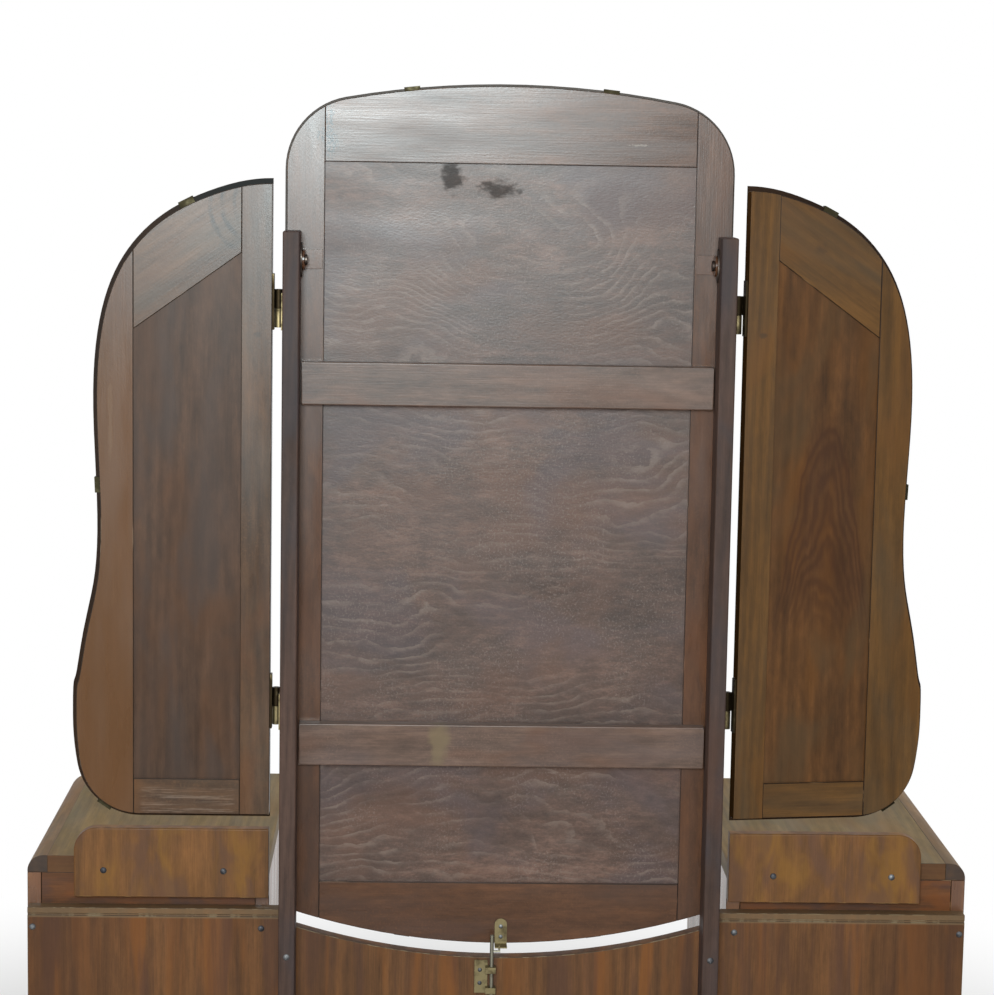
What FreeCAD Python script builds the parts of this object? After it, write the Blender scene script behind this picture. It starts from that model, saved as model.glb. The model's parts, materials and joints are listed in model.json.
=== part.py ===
"""Dressing table with a swinging centre mirror and two hinged wing mirrors.

Millimetres, +Z up, the drawers face -Y and the mirror posts stand at the back, towards +Y.
The origin is on the floor, under the middle of the overall box.  "Right" is +X.
Two pedestals on cabriole legs carry the side tops.  Between them are a low platform with
a long drawer under it, and the well that the tall centre mirror hangs into.
Right-hand pieces are built first and the left-hand ones are their reflections.
"""
import FreeCAD, Part
import math
import os

Vector = FreeCAD.Vector
ORIGIN = Vector(0, 0, 0)
UP = Vector(0, 0, 1)

# Driving dimensions of the whole table
TABLE_WIDTH = 1219.0
TOP_HEIGHT = 660.0
TOP_DEPTH = 480.0
WELL_WIDTH = 595.0
PLATFORM_HEIGHT = 380.0
LEG_HEIGHT = 240.0
BOARD = 18.0
CORNER_ROUND = 45.0
BACK_PANEL = 20.0
POST_DEPTH = 45.0
KNOB_LENGTH = 30.0
FACE_SETBACK = 6.0
SCREW_HEAD = 2.4
POST_INSET = 15.5
MIRROR_DROP = 111.0

# Clearances shared by every moving piece
SLIP = 0.3
DRAWER_GAP = 1.2
RUNNING_FIT = 0.05
CUT_OVERRUN = 10.0

# Places that the pieces share, worked out from the sizes above
OVERALL_DEPTH = KNOB_LENGTH - FACE_SETBACK + TOP_DEPTH + BACK_PANEL + POST_DEPTH + SCREW_HEAD
POST_BACK_Y = OVERALL_DEPTH / 2 - SCREW_HEAD
PANEL_BACK_Y = POST_BACK_Y - POST_DEPTH
CARCASS_BACK_Y = PANEL_BACK_Y - BACK_PANEL
TOP_FRONT_Y = CARCASS_BACK_Y - TOP_DEPTH
FACE_Y = TOP_FRONT_Y + FACE_SETBACK
OUTER_X = TABLE_WIDTH / 2
INNER_X = WELL_WIDTH / 2
POST_OUTER_X = INNER_X - POST_INSET
MIRROR_FOOT = TOP_HEIGHT - MIRROR_DROP


def block(x_span, y_span, z_span):
    """A plain board from its low and high places along each axis."""
    low = Vector(min(x_span), min(y_span), min(z_span))
    high = Vector(max(x_span), max(y_span), max(z_span))
    size = high - low
    return Part.makeBox(size.x, size.y, size.z, low)


def mirrored(shape):
    """The left-hand twin of a right-hand piece."""
    return shape.mirror(ORIGIN, Vector(1, 0, 0))


def both_sides(shapes):
    """Right-hand pieces with their left-hand twins."""
    return list(shapes) + [mirrored(shape) for shape in shapes]


def fused(shapes):
    """One solid made from touching shapes."""
    return shapes[0].multiFuse(shapes[1:]).removeSplitter()


def soften(solid, radius, chosen):
    """The solid with a round of this radius on the edges whose box is chosen."""
    return solid.makeFillet(radius, [edge for edge in solid.Edges if chosen(edge.BoundBox)])


def on_circle(centre, radius, angle):
    """The point of an upright circle, facing Y, at an angle up from +X."""
    return centre + Vector(radius * math.cos(angle), 0, radius * math.sin(angle))


def arc(centre, radius, first, last):
    """An arc of an upright circle between two angles."""
    angles = (first, (first + last) / 2, last)
    return Part.Arc(*[on_circle(centre, radius, angle) for angle in angles]).toShape()


def slab(wire, y_low, thickness):
    """A board whose outline lies in the XZ plane, between y_low and y_low + thickness."""
    solid = Part.Face(wire).extrude(Vector(0, thickness, 0))
    solid.translate(Vector(0, y_low, 0))
    return solid


def polygon(points):
    """A closed outline through points given as (x, z)."""
    corners = [Vector(x, 0, z) for x, z in points]
    return Part.makePolygon(corners + corners[:1])


def save(name, shapes):
    """Writes one named sub-part; several solids become one group."""
    shape = shapes[0] if len(shapes) == 1 else Part.makeCompound(shapes)
    shape.exportStep(os.path.join("parts", name + ".step"))
    print(name, len(shape.Solids), "solids", round(shape.Volume))


# Side tops: a board with a solid lipping strip along the rounded outer edge
TOP_BOARD = 22.0
EDGE_FLAT = 2.0
EDGE_ROUND = TOP_BOARD - EDGE_FLAT
LIPPING_WIDTH = 26.0
INNER_EDGE_ROUND = 3.0


def rounded_top():
    """The right top with its lipping, as one shape: rounded in plan at the front outer corner."""
    low_z = TOP_HEIGHT - TOP_BOARD
    arc_middle = CORNER_ROUND * (1 - math.sqrt(0.5))
    back_inner = Vector(INNER_X, CARCASS_BACK_Y, low_z)
    back_outer = Vector(OUTER_X, CARCASS_BACK_Y, low_z)
    side_end = Vector(OUTER_X, TOP_FRONT_Y + CORNER_ROUND, low_z)
    corner = Vector(OUTER_X - arc_middle, TOP_FRONT_Y + arc_middle, low_z)
    front_end = Vector(OUTER_X - CORNER_ROUND, TOP_FRONT_Y, low_z)
    front_inner = Vector(INNER_X, TOP_FRONT_Y, low_z)
    outline = Part.Wire([
        Part.makeLine(back_inner, back_outer),
        Part.makeLine(back_outer, side_end),
        Part.Arc(side_end, corner, front_end).toShape(),
        Part.makeLine(front_end, front_inner),
        Part.makeLine(front_inner, back_inner),
    ])
    solid = Part.Face(outline).extrude(Vector(0, 0, TOP_BOARD))
    solid = soften(solid, EDGE_ROUND, lambda box: box.ZMin > TOP_HEIGHT - SLIP
                   and box.XMax > INNER_X + SLIP and box.YMin < CARCASS_BACK_Y - SLIP)
    return soften(solid, INNER_EDGE_ROUND, lambda box: box.XMax < INNER_X + SLIP
                  and box.ZMin > TOP_HEIGHT - SLIP and box.YLength > TOP_DEPTH / 2)


def split_top():
    """The top's board and its lipping strip."""
    whole = rounded_top()
    seam_x = OUTER_X - LIPPING_WIDTH
    y_span = (TOP_FRONT_Y - CUT_OVERRUN, CARCASS_BACK_Y + CUT_OVERRUN)
    z_span = (TOP_HEIGHT - TOP_BOARD - CUT_OVERRUN, TOP_HEIGHT + CUT_OVERRUN)
    board = whole.common(block((INNER_X - CUT_OVERRUN, seam_x), y_span, z_span))
    strip = whole.common(block((seam_x, OUTER_X + CUT_OVERRUN), y_span, z_span))
    return board, strip


# Pedestal carcass: two sides, three front rails, a thin bottom and a back rail
UNDER_TOP = TOP_HEIGHT - TOP_BOARD
RAIL_DEPTH = CORNER_ROUND
BOTTOM_BOARD = 10.0
BACK_RAIL_HEIGHT = 85.0
PEDESTAL_DRAWERS = 2
OPENING_HEIGHT = (UNDER_TOP - LEG_HEIGHT - (PEDESTAL_DRAWERS + 1) * BOARD) / PEDESTAL_DRAWERS
LOWER_OPENING_Z = LEG_HEIGHT + BOARD
UPPER_OPENING_Z = LOWER_OPENING_Z + OPENING_HEIGHT + BOARD
BAY_INNER_X = INNER_X + BOARD
BAY_OUTER_X = OUTER_X - CORNER_ROUND


def outer_side():
    """The outer side: a flat board that ends in a quarter-round stile at the front."""
    arc_middle = CORNER_ROUND * (1 - math.sqrt(0.5))
    stile_back = FACE_Y + CORNER_ROUND
    plan = [
        Vector(OUTER_X - BOARD, CARCASS_BACK_Y, LEG_HEIGHT),
        Vector(OUTER_X, CARCASS_BACK_Y, LEG_HEIGHT),
        Vector(OUTER_X, stile_back, LEG_HEIGHT),
    ]
    front = Vector(OUTER_X - CORNER_ROUND, FACE_Y, LEG_HEIGHT)
    corner = Vector(OUTER_X - arc_middle, FACE_Y + arc_middle, LEG_HEIGHT)
    rest = [
        front,
        Vector(OUTER_X - CORNER_ROUND, stile_back, LEG_HEIGHT),
        Vector(OUTER_X - BOARD, stile_back, LEG_HEIGHT),
        plan[0],
    ]
    edges = [Part.makeLine(plan[0], plan[1]), Part.makeLine(plan[1], plan[2])]
    edges.append(Part.Arc(plan[2], corner, front).toShape())
    edges += [Part.makeLine(a, b) for a, b in zip(rest, rest[1:])]
    return Part.Face(Part.Wire(edges)).extrude(Vector(0, 0, UNDER_TOP - LEG_HEIGHT))


def inner_side():
    """The flat side that faces the well."""
    return block((INNER_X, BAY_INNER_X), (FACE_Y, CARCASS_BACK_Y), (LEG_HEIGHT, UNDER_TOP))


def front_rail(low_z):
    """One rail between a pedestal's sides, in front of the drawers' runners."""
    return block((BAY_INNER_X, BAY_OUTER_X), (FACE_Y, FACE_Y + RAIL_DEPTH), (low_z, low_z + BOARD))


def pedestal_rails():
    """The rails under, between and over the two drawers."""
    levels = (LEG_HEIGHT, UPPER_OPENING_Z - BOARD, UNDER_TOP - BOARD)
    return [front_rail(level) for level in levels]


def pedestal_bottom():
    """The thin bottom behind the lowest rail."""
    y_span = (FACE_Y + RAIL_DEPTH, CARCASS_BACK_Y)
    return block((BAY_INNER_X, OUTER_X - BOARD), y_span, (LEG_HEIGHT, LEG_HEIGHT + BOTTOM_BOARD))


def back_rail():
    """The rail across the back under the top, which the gallery board is screwed to."""
    y_span = (CARCASS_BACK_Y - BOARD, CARCASS_BACK_Y)
    return block((BAY_INNER_X, OUTER_X - BOARD), y_span, (UNDER_TOP - BACK_RAIL_HEIGHT, UNDER_TOP))


# Runners: flat bearers for the drawers' sides, with a guide strip where the stile stands proud
RUNNER_WIDTH = 16.0
RUNNER_HEIGHT = 8.0
SIDE_GUIDE_HEIGHT = 22.0
RUNNER_BACK_Y = CARCASS_BACK_Y - BOARD - RUNNER_WIDTH


def pedestal_runners(floor_z):
    """The two runners of one drawer opening, level with the rail in front, and the side guide."""
    y_span = (FACE_Y + RAIL_DEPTH, RUNNER_BACK_Y)
    z_span = (floor_z - RUNNER_HEIGHT, floor_z)
    inner = block((BAY_INNER_X, BAY_INNER_X + RUNNER_WIDTH), y_span, z_span)
    outer = block((BAY_OUTER_X - RUNNER_WIDTH, OUTER_X - BOARD), y_span, z_span)
    guide = block((BAY_OUTER_X, OUTER_X - BOARD), y_span, (floor_z, floor_z + SIDE_GUIDE_HEIGHT))
    return [inner, outer, guide]


def well_runner():
    """A bearer on the pedestal's inner side for the long drawer under the platform."""
    y_span = (FACE_Y + RAIL_DEPTH, RUNNER_BACK_Y)
    z_span = (LOWER_OPENING_Z - RUNNER_HEIGHT, LOWER_OPENING_Z)
    return block((INNER_X - RUNNER_WIDTH, INNER_X), y_span, z_span)


# Well: the low platform, its front rail and the concave panel behind it
PLATFORM_BOARD = 20.0
PLATFORM_SETBACK = 12.0
PLATFORM_NOSING = 6.0
PANEL_FOOT = 5.0
JOINT_COVER = 1.0
PANEL_JOINT_X = POST_OUTER_X - JOINT_COVER
PANEL_TOP_DROP = 63.0
BEAD_DEPTH = 1.5
BEAD_DROP = 8.0
BEAD_GROOVE = 2.5
ARCH_RADIUS = 880.0
ARCH_GAP = 14.0
WELL_PANEL_TOP = MIRROR_FOOT - ARCH_GAP


def platform():
    """The low shelf of the well, with a rounded front edge."""
    y_span = (FACE_Y + PLATFORM_SETBACK, CARCASS_BACK_Y)
    z_span = (PLATFORM_HEIGHT - PLATFORM_BOARD, PLATFORM_HEIGHT)
    shelf = block((-INNER_X, INNER_X), y_span, z_span)
    return soften(shelf, PLATFORM_NOSING, lambda box: box.YMax < y_span[0] + SLIP
                  and box.XLength > INNER_X)


def well_rail():
    """The rail under the long drawer."""
    y_low = FACE_Y + PLATFORM_SETBACK
    return block((-INNER_X, INNER_X), (y_low, FACE_Y + RAIL_DEPTH), (LEG_HEIGHT, LEG_HEIGHT + BOARD))


# Mirror posts: they stand on the backs of the panels and cover the panels' joints
POST_WIDTH = 21.0
POST_INNER_X = POST_OUTER_X - POST_WIDTH
POST_MIDDLE_X = POST_OUTER_X - POST_WIDTH / 2
POST_RISE = 810.0
POST_TOP = TOP_HEIGHT + POST_RISE
POST_FOOT_GAP = 12.0
POST_FOOT = LEG_HEIGHT + POST_FOOT_GAP
POST_ARRIS = 2.0


def post():
    """The right post, with softened edges."""
    upright = block((POST_INNER_X, POST_OUTER_X), (PANEL_BACK_Y, POST_BACK_Y), (POST_FOOT, POST_TOP))
    return soften(upright, POST_ARRIS, lambda box: box.YMin > POST_BACK_Y - SLIP
                  or box.ZMin > POST_TOP - SLIP)


def side_panel():
    """The board behind a pedestal, from the post to the outer side, with a bead along its top."""
    top_z = TOP_HEIGHT - PANEL_TOP_DROP
    x_span = (PANEL_JOINT_X, OUTER_X - BEAD_GROOVE)
    panel = block(x_span, (CARCASS_BACK_Y, PANEL_BACK_Y), (LEG_HEIGHT + PANEL_FOOT, top_z))
    groove_z = top_z - BEAD_DROP
    groove = block(
        (POST_OUTER_X + BEAD_GROOVE, OUTER_X + CUT_OVERRUN),
        (PANEL_BACK_Y - BEAD_DEPTH, PANEL_BACK_Y + CUT_OVERRUN),
        (groove_z - BEAD_GROOVE, groove_z),
    )
    return panel.cut(groove)


def well_panel():
    """The panel between the posts; its top edge dips in an arc that follows the mirror's foot."""
    radius = ARCH_RADIUS + ARCH_GAP
    centre = Vector(0, 0, WELL_PANEL_TOP + radius)
    lean = math.asin(PANEL_JOINT_X / radius)
    foot_z = LEG_HEIGHT + PANEL_FOOT
    left_foot = Vector(-PANEL_JOINT_X, 0, foot_z)
    right_foot = Vector(PANEL_JOINT_X, 0, foot_z)
    down = -math.pi / 2
    outline = Part.Wire([
        arc(centre, radius, down - lean, down + lean),
        Part.makeLine(on_circle(centre, radius, down + lean), right_foot),
        Part.makeLine(right_foot, left_foot),
        Part.makeLine(left_foot, on_circle(centre, radius, down - lean)),
    ])
    return slab(outline, CARCASS_BACK_Y, BACK_PANEL)


# Gallery boards along the backs of the side tops
GALLERY_BOARD = 18.0
GALLERY_RISE = 42.0
GALLERY_DROP = 49.0
GALLERY_SETBACK = 62.0
GALLERY_END_X = OUTER_X - GALLERY_SETBACK
GALLERY_ROUND = 30.0
GALLERY_ARRIS = 2.0


def gallery():
    """The right gallery board, rounded at its outer top corner."""
    x_span = (INNER_X, GALLERY_END_X)
    z_span = (TOP_HEIGHT - GALLERY_DROP, TOP_HEIGHT + GALLERY_RISE)
    board = block(x_span, (CARCASS_BACK_Y, CARCASS_BACK_Y + GALLERY_BOARD), z_span)
    board = soften(board, GALLERY_ROUND, lambda box: box.XMin > x_span[1] - SLIP
                   and box.ZMin > z_span[1] - SLIP)
    return soften(board, GALLERY_ARRIS, lambda box: box.YLength < SLIP
                  and box.ZMax > z_span[1] - SLIP and box.XLength > SLIP)


# Legs: four cabriole legs in front and four tapered ones behind
LEG_SQUARE = 50.0
LEG_INSET = 36.0
LEG_HEIGHT_SHARES = (1.0, 0.89, 0.72, 0.5, 0.3, 0.16, 0.08, 0.03, 0.0)
LEG_WIDTH_SHARES = (1.0, 1.14, 0.96, 0.68, 0.52, 0.54, 0.86, 1.0, 0.8)
LEG_SWING_SHARES = (0.0, 0.07, 0.05, -0.07, -0.15, -0.12, 0.0, 0.02, 0.0)
LEG_ROUND_SHARES = (0.2, 0.3, 0.38, 0.44, 0.47, 0.48, 0.48, 0.48, 0.48)
BACK_LEG_SQUARE = 44.0
BACK_LEG_TOE = 28.0
BACK_LEG_INSET = 24.0
LEG_ARRIS = 4.0


def rounded_square(centre, width, corner):
    """A level square outline with rounded corners, as lines and arcs."""
    half = width / 2
    reach = half - corner
    edges = []
    middle = corner * math.sqrt(0.5)
    for turn in range(4):
        angle = turn * 90
        start = Vector(half, -reach, 0)
        end = Vector(half, reach, 0)
        bend = Vector(reach + middle, reach + middle, 0)
        done = Vector(reach, half, 0)
        line = Part.makeLine(start, end)
        turned = Part.Arc(end, bend, done).toShape()
        for edge in (line, turned):
            edge.rotate(ORIGIN, UP, angle)
            edges.append(edge)
    wire = Part.Wire(edges)
    wire.translate(centre)
    return wire


def cabriole_leg(x, y, out_x, out_y):
    """A leg that bows out at the knee and in at the ankle, towards (out_x, out_y), on a pad foot."""
    rings = []
    shares = zip(LEG_HEIGHT_SHARES, LEG_WIDTH_SHARES, LEG_SWING_SHARES, LEG_ROUND_SHARES)
    for height, width, swing, corner in shares:
        side = LEG_SQUARE * width
        centre = Vector(
            x + out_x * swing * LEG_SQUARE,
            y + out_y * swing * LEG_SQUARE,
            height * LEG_HEIGHT,
        )
        rings.append(rounded_square(centre, side, side * corner))
    return Part.makeLoft(rings, True, False)


def back_leg(x, y):
    """A straight leg that tapers to its toe."""
    head = rounded_square(Vector(x, y, LEG_HEIGHT), BACK_LEG_SQUARE, LEG_ARRIS)
    toe = rounded_square(Vector(x, y, 0), BACK_LEG_TOE, LEG_ARRIS)
    return Part.makeLoft([toe, head], True, True)


def front_legs():
    """The right pedestal's two front legs."""
    y = FACE_Y + LEG_INSET
    outer = cabriole_leg(OUTER_X - LEG_INSET, y, 1, -1)
    inner = cabriole_leg(INNER_X + LEG_INSET, y, -1, -1)
    return [outer, inner]


def back_legs():
    """The right pedestal's two back legs."""
    y = CARCASS_BACK_Y - BACK_LEG_INSET
    return [back_leg(OUTER_X - BACK_LEG_INSET, y), back_leg(INNER_X + BACK_LEG_INSET, y)]


# Drawers: a front board, and a box of two sides, a back and a bottom
FRONT_BOARD = 20.0
DRAWER_SIDE = 10.0
DRAWER_BOTTOM = 5.0
BOTTOM_RISE = 8.0
BOX_HEADROOM = 14.0
DRAWER_BACK_GAP = 40.0
DRAWER_ARRIS = 2.0


def drawer_front(x_span, face_y, z_span):
    """A drawer's front board, with the running gap all round."""
    x_edges = (x_span[0] + DRAWER_GAP, x_span[1] - DRAWER_GAP)
    z_edges = (z_span[0] + DRAWER_GAP, z_span[1] - DRAWER_GAP)
    board = block(x_edges, (face_y, face_y + FRONT_BOARD), z_edges)
    return soften(board, DRAWER_ARRIS, lambda box: box.YMax < face_y + SLIP)


def drawer_box(x_span, face_y, z_span):
    """The sides, back and bottom behind a drawer's front."""
    left = x_span[0] + DRAWER_GAP
    right = x_span[1] - DRAWER_GAP
    near = face_y + FRONT_BOARD
    far = CARCASS_BACK_Y - DRAWER_BACK_GAP
    z_edges = (z_span[0] + SLIP, z_span[1] - BOX_HEADROOM)
    sides = [
        block((left, left + DRAWER_SIDE), (near, far), z_edges),
        block((right - DRAWER_SIDE, right), (near, far), z_edges),
    ]
    inside = (left + DRAWER_SIDE, right - DRAWER_SIDE)
    floor_z = z_edges[0] + BOTTOM_RISE
    back = block(inside, (far - DRAWER_SIDE, far), (floor_z + DRAWER_BOTTOM, z_edges[1]))
    bottom = block(inside, (near, far), (floor_z, floor_z + DRAWER_BOTTOM))
    return sides + [back, bottom]


# Knobs: turned brass, a back plate and a waisted stem under a domed head
KNOB_PLATE_RADIUS = 15.0
KNOB_PLATE = 2.5
KNOB_COVE = 2.5
KNOB_STEM_RADIUS = 5.5
KNOB_HEAD_RADIUS = 13.0
KNOB_HEAD = 13.0
KNOB_FLARE = 4.0
WELL_KNOB_OFFSET = 170.0


def knob(x, face_y, z):
    """A turned knob on a drawer's face, its axis along Y."""
    neck = KNOB_LENGTH - KNOB_HEAD
    profile = [
        Vector(0, 0, 0),
        Vector(KNOB_PLATE_RADIUS, 0, 0),
        Vector(KNOB_PLATE_RADIUS, -KNOB_PLATE, 0),
        Vector(KNOB_STEM_RADIUS + KNOB_COVE, -KNOB_PLATE, 0),
        Vector(KNOB_STEM_RADIUS, -KNOB_PLATE - KNOB_COVE, 0),
        Vector(KNOB_STEM_RADIUS, -neck, 0),
    ]
    dome = KNOB_HEAD - KNOB_FLARE
    dome_radius = (KNOB_HEAD_RADIUS ** 2 + dome ** 2) / (2 * dome)
    half_angle = math.asin(KNOB_HEAD_RADIUS / dome_radius) / 2
    dome_centre = dome_radius - KNOB_LENGTH
    rim = Vector(KNOB_HEAD_RADIUS, -neck - KNOB_FLARE, 0)
    shoulder_x = dome_radius * math.sin(half_angle)
    shoulder = Vector(shoulder_x, dome_centre - dome_radius * math.cos(half_angle), 0)
    tip = Vector(0, -KNOB_LENGTH, 0)
    profile.append(rim)
    edges = [Part.makeLine(a, b) for a, b in zip(profile, profile[1:])]
    edges.append(Part.Arc(rim, shoulder, tip).toShape())
    edges.append(Part.makeLine(tip, profile[0]))
    solid = Part.Face(Part.Wire(edges)).revolve(ORIGIN, Vector(0, 1, 0), 360)
    solid.translate(Vector(x, face_y, z))
    return solid


# Centre mirror: a joined frame with a plywood panel, two cross battens and an overhanging glass
MIRROR_COVER = 0.5
MIRROR_HALF_WIDTH = POST_OUTER_X + MIRROR_COVER
MIRROR_RISE = 995.0
MIRROR_TOP = TOP_HEIGHT + MIRROR_RISE
CROWN_RADIUS = 1150.0
MIRROR_SHOULDER = 92.0
MIRROR_TOE = 6.0
FRAME_BOARD = 18.0
GLASS = 6.0
PLY = 5.0
GROOVE_DEPTH = 6.0
MIRROR_GAP = 8.0
GLASS_OVERHANG = 3.0
MIRROR_STILE = 50.0
TOP_RAIL = 99.0
FOOT_RAIL = 83.0
TOP_RAIL_Z = MIRROR_TOP - TOP_RAIL
FOOT_RAIL_Z = MIRROR_FOOT + FOOT_RAIL
MIRROR_PANEL_RECESS = 6.0
FRAME_BACK_Y = PANEL_BACK_Y - MIRROR_GAP
FRAME_FRONT_Y = FRAME_BACK_Y - FRAME_BOARD
BATTEN_BOARD = 18.0
BATTEN_WIDTH = 54.0
BATTEN_GAP = 1.5
BATTEN_ARRIS = 1.5
BATTEN_HEIGHT_SHARES = (0.218, 0.636)


def mirror_outline(inset):
    """The mirror's outline drawn in by inset: shallow arcs above and below, round shoulders."""
    crown_centre = Vector(0, 0, MIRROR_TOP - CROWN_RADIUS)
    foot_centre = Vector(0, 0, MIRROR_FOOT + ARCH_RADIUS)
    crown_run = CROWN_RADIUS - MIRROR_SHOULDER
    foot_run = ARCH_RADIUS - MIRROR_TOE
    high = math.acos((MIRROR_HALF_WIDTH - MIRROR_SHOULDER) / crown_run)
    low = math.acos((MIRROR_HALF_WIDTH - MIRROR_TOE) / foot_run)
    crown = CROWN_RADIUS - inset
    shoulder = MIRROR_SHOULDER - inset
    toe = MIRROR_TOE - inset
    foot = ARCH_RADIUS - inset
    half_turn = math.pi
    right_shoulder = on_circle(crown_centre, crown_run, high)
    left_shoulder = on_circle(crown_centre, crown_run, half_turn - high)
    right_toe = on_circle(foot_centre, foot_run, -low)
    left_toe = on_circle(foot_centre, foot_run, low - half_turn)
    right_top = on_circle(right_shoulder, shoulder, 0)
    right_low = on_circle(right_toe, toe, 0)
    left_low = on_circle(left_toe, toe, half_turn)
    left_top = on_circle(left_shoulder, shoulder, half_turn)
    return Part.Wire([
        arc(crown_centre, crown, half_turn - high, high),
        arc(right_shoulder, shoulder, high, 0),
        Part.makeLine(right_top, right_low),
        arc(right_toe, toe, 0, -low),
        arc(foot_centre, foot, -low, low - half_turn),
        arc(left_toe, toe, low - half_turn, -half_turn),
        Part.makeLine(left_low, left_top),
        arc(left_shoulder, shoulder, half_turn, half_turn - high),
    ])


def frame_piece(board, x_span, z_span):
    """The part of a frame's board that lies within a column and a row."""
    y_span = (board.BoundBox.YMin - CUT_OVERRUN, board.BoundBox.YMax + CUT_OVERRUN)
    return board.common(block(x_span, y_span, z_span))


def centre_mirror():
    """Every piece of the centre mirror except its fittings."""
    inner_x = MIRROR_HALF_WIDTH - MIRROR_STILE
    board = slab(mirror_outline(GLASS_OVERHANG), FRAME_FRONT_Y, FRAME_BOARD)
    panel_y = FRAME_BACK_Y - MIRROR_PANEL_RECESS - PLY
    panel = block(
        (-inner_x - GROOVE_DEPTH, inner_x + GROOVE_DEPTH),
        (panel_y, panel_y + PLY),
        (FOOT_RAIL_Z - GROOVE_DEPTH, TOP_RAIL_Z + GROOVE_DEPTH),
    )
    board = board.cut(panel)
    low = MIRROR_FOOT - CUT_OVERRUN
    high = MIRROR_TOP + CUT_OVERRUN
    outer = MIRROR_HALF_WIDTH + CUT_OVERRUN
    stile = frame_piece(board, (inner_x, outer), (low, high))
    rails = [
        frame_piece(board, (-inner_x, inner_x), (TOP_RAIL_Z, high)),
        frame_piece(board, (-inner_x, inner_x), (low, FOOT_RAIL_Z)),
    ]
    reach = POST_INNER_X - BATTEN_GAP
    batten_y = (FRAME_BACK_Y, FRAME_BACK_Y + BATTEN_BOARD)
    battens = []
    for share in BATTEN_HEIGHT_SHARES:
        z = MIRROR_FOOT + share * (MIRROR_TOP - MIRROR_FOOT)
        batten = block((-reach, reach), batten_y, (z, z + BATTEN_WIDTH))
        battens.append(soften(batten, BATTEN_ARRIS, lambda box: box.YMin > FRAME_BACK_Y + SLIP))
    glass = slab(mirror_outline(0), FRAME_FRONT_Y - GLASS, GLASS)
    return both_sides([stile]), rails, panel, battens, glass


# Glass clips: brass straps that hook round the glass and sit on the frame's edge
CLIP_LENGTH = 20.0
CLIP_METAL = 1.8
CLIP_LIP = 5.0
CLIP_SLIP = 0.2


def clip(point, outward, overhang, front_y, frame):
    """A clip at a point of the glass's edge, whose outward direction is (x, z)."""
    half = CLIP_LENGTH / 2
    outer = CLIP_SLIP + CLIP_METAL
    lip_y = front_y - CLIP_SLIP
    back_y = front_y + GLASS + CLIP_SLIP
    y_span = (lip_y - CLIP_METAL, back_y + CLIP_METAL)
    strap = block((-half, half), y_span, (CLIP_SLIP, outer))
    lip = block((-half, half), (lip_y - CLIP_METAL, lip_y), (-CLIP_LIP, outer))
    heel = block((-half, half), (back_y, back_y + CLIP_METAL), (-overhang, outer))
    solid = fused([strap, lip, heel])
    solid.rotate(ORIGIN, Vector(0, 1, 0), math.degrees(math.atan2(outward[0], outward[1])))
    solid.translate(Vector(point[0], 0, point[1]))
    return solid.cut(frame)


CLIP_X = 125.0


def centre_clips():
    """Two clips over the mirror's crown and two under its foot."""
    board = slab(mirror_outline(GLASS_OVERHANG), FRAME_FRONT_Y, FRAME_BOARD)
    clips = []
    for arch_z, radius, side in ((MIRROR_TOP, CROWN_RADIUS, 1), (MIRROR_FOOT, ARCH_RADIUS, -1)):
        centre_z = arch_z - side * radius
        rise = math.sqrt(radius ** 2 - CLIP_X ** 2)
        point = (CLIP_X, centre_z + side * rise)
        outward = (CLIP_X / radius, side * rise / radius)
        clips.append(clip(point, outward, GLASS_OVERHANG, FRAME_FRONT_Y - GLASS, board))
    return both_sides(clips)


# Wing mirrors: frames with a diagonal top rail and a waisted outer edge
WING_WIDTH = 251.5
WING_HEIGHT = 814.0
WING_CLEARANCE = 18.0
WING_FOOT = TOP_HEIGHT + GALLERY_RISE + WING_CLEARANCE
WING_GAP = 14.0
WING_EDGE_X = POST_OUTER_X + WING_GAP
WING_BULGE = 356.0
WING_TOE = 81.0
WING_OVERHANG = 6.5
WING_STILE = 38.0
WING_OUTER_STILE = 79.0
WING_FOOT_RAIL = 52.0
WING_RAIL_HEIGHT_SHARES = (0.887, 0.768)
WING_PANEL_RECESS = 3.0
WING_FRONT_Y = PANEL_BACK_Y
WING_REST_ANGLE = 8.0
WING_EDGE_WIDTH_SHARES = (0.0, 0.277, 0.57, 0.763, 0.873, 0.893, 0.874, 0.891, 0.953, 0.986, 1.0)
WING_EDGE_HEIGHT_SHARES = (1.0, 0.984, 0.937, 0.867, 0.756, 0.651, 0.479, 0.377, 0.282, 0.222, 0.16)
WING_CLIP_WIDTH_SHARES = (0.435, 0.877)
WING_CLIP_HEIGHT_SHARES = (0.965, 0.524)
WING_TOE_CLIP_SHARE = 0.62


def waisted_curve(points):
    """The free edge's upper curve: level at the hinge side, upright at the widest place."""
    curve = Part.BSplineCurve()
    curve.interpolate(Points=points, InitialTangent=Vector(1, 0, 0), FinalTangent=Vector(0, 0, -1))
    return curve


def wing_places(width_shares, height_shares):
    """Places on the wing, from shares of its width and height."""
    return [
        Vector(WING_EDGE_X + across * WING_WIDTH, 0, WING_FOOT + up * WING_HEIGHT)
        for across, up in zip(width_shares, height_shares)
    ]


def outward_from(curve, point):
    """The curve's nearest place to a point, and the direction out of the glass there."""
    parameter = curve.parameter(point)
    along = curve.tangent(parameter)[0]
    return curve.value(parameter), Vector(-along.z, 0, along.x)


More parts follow.
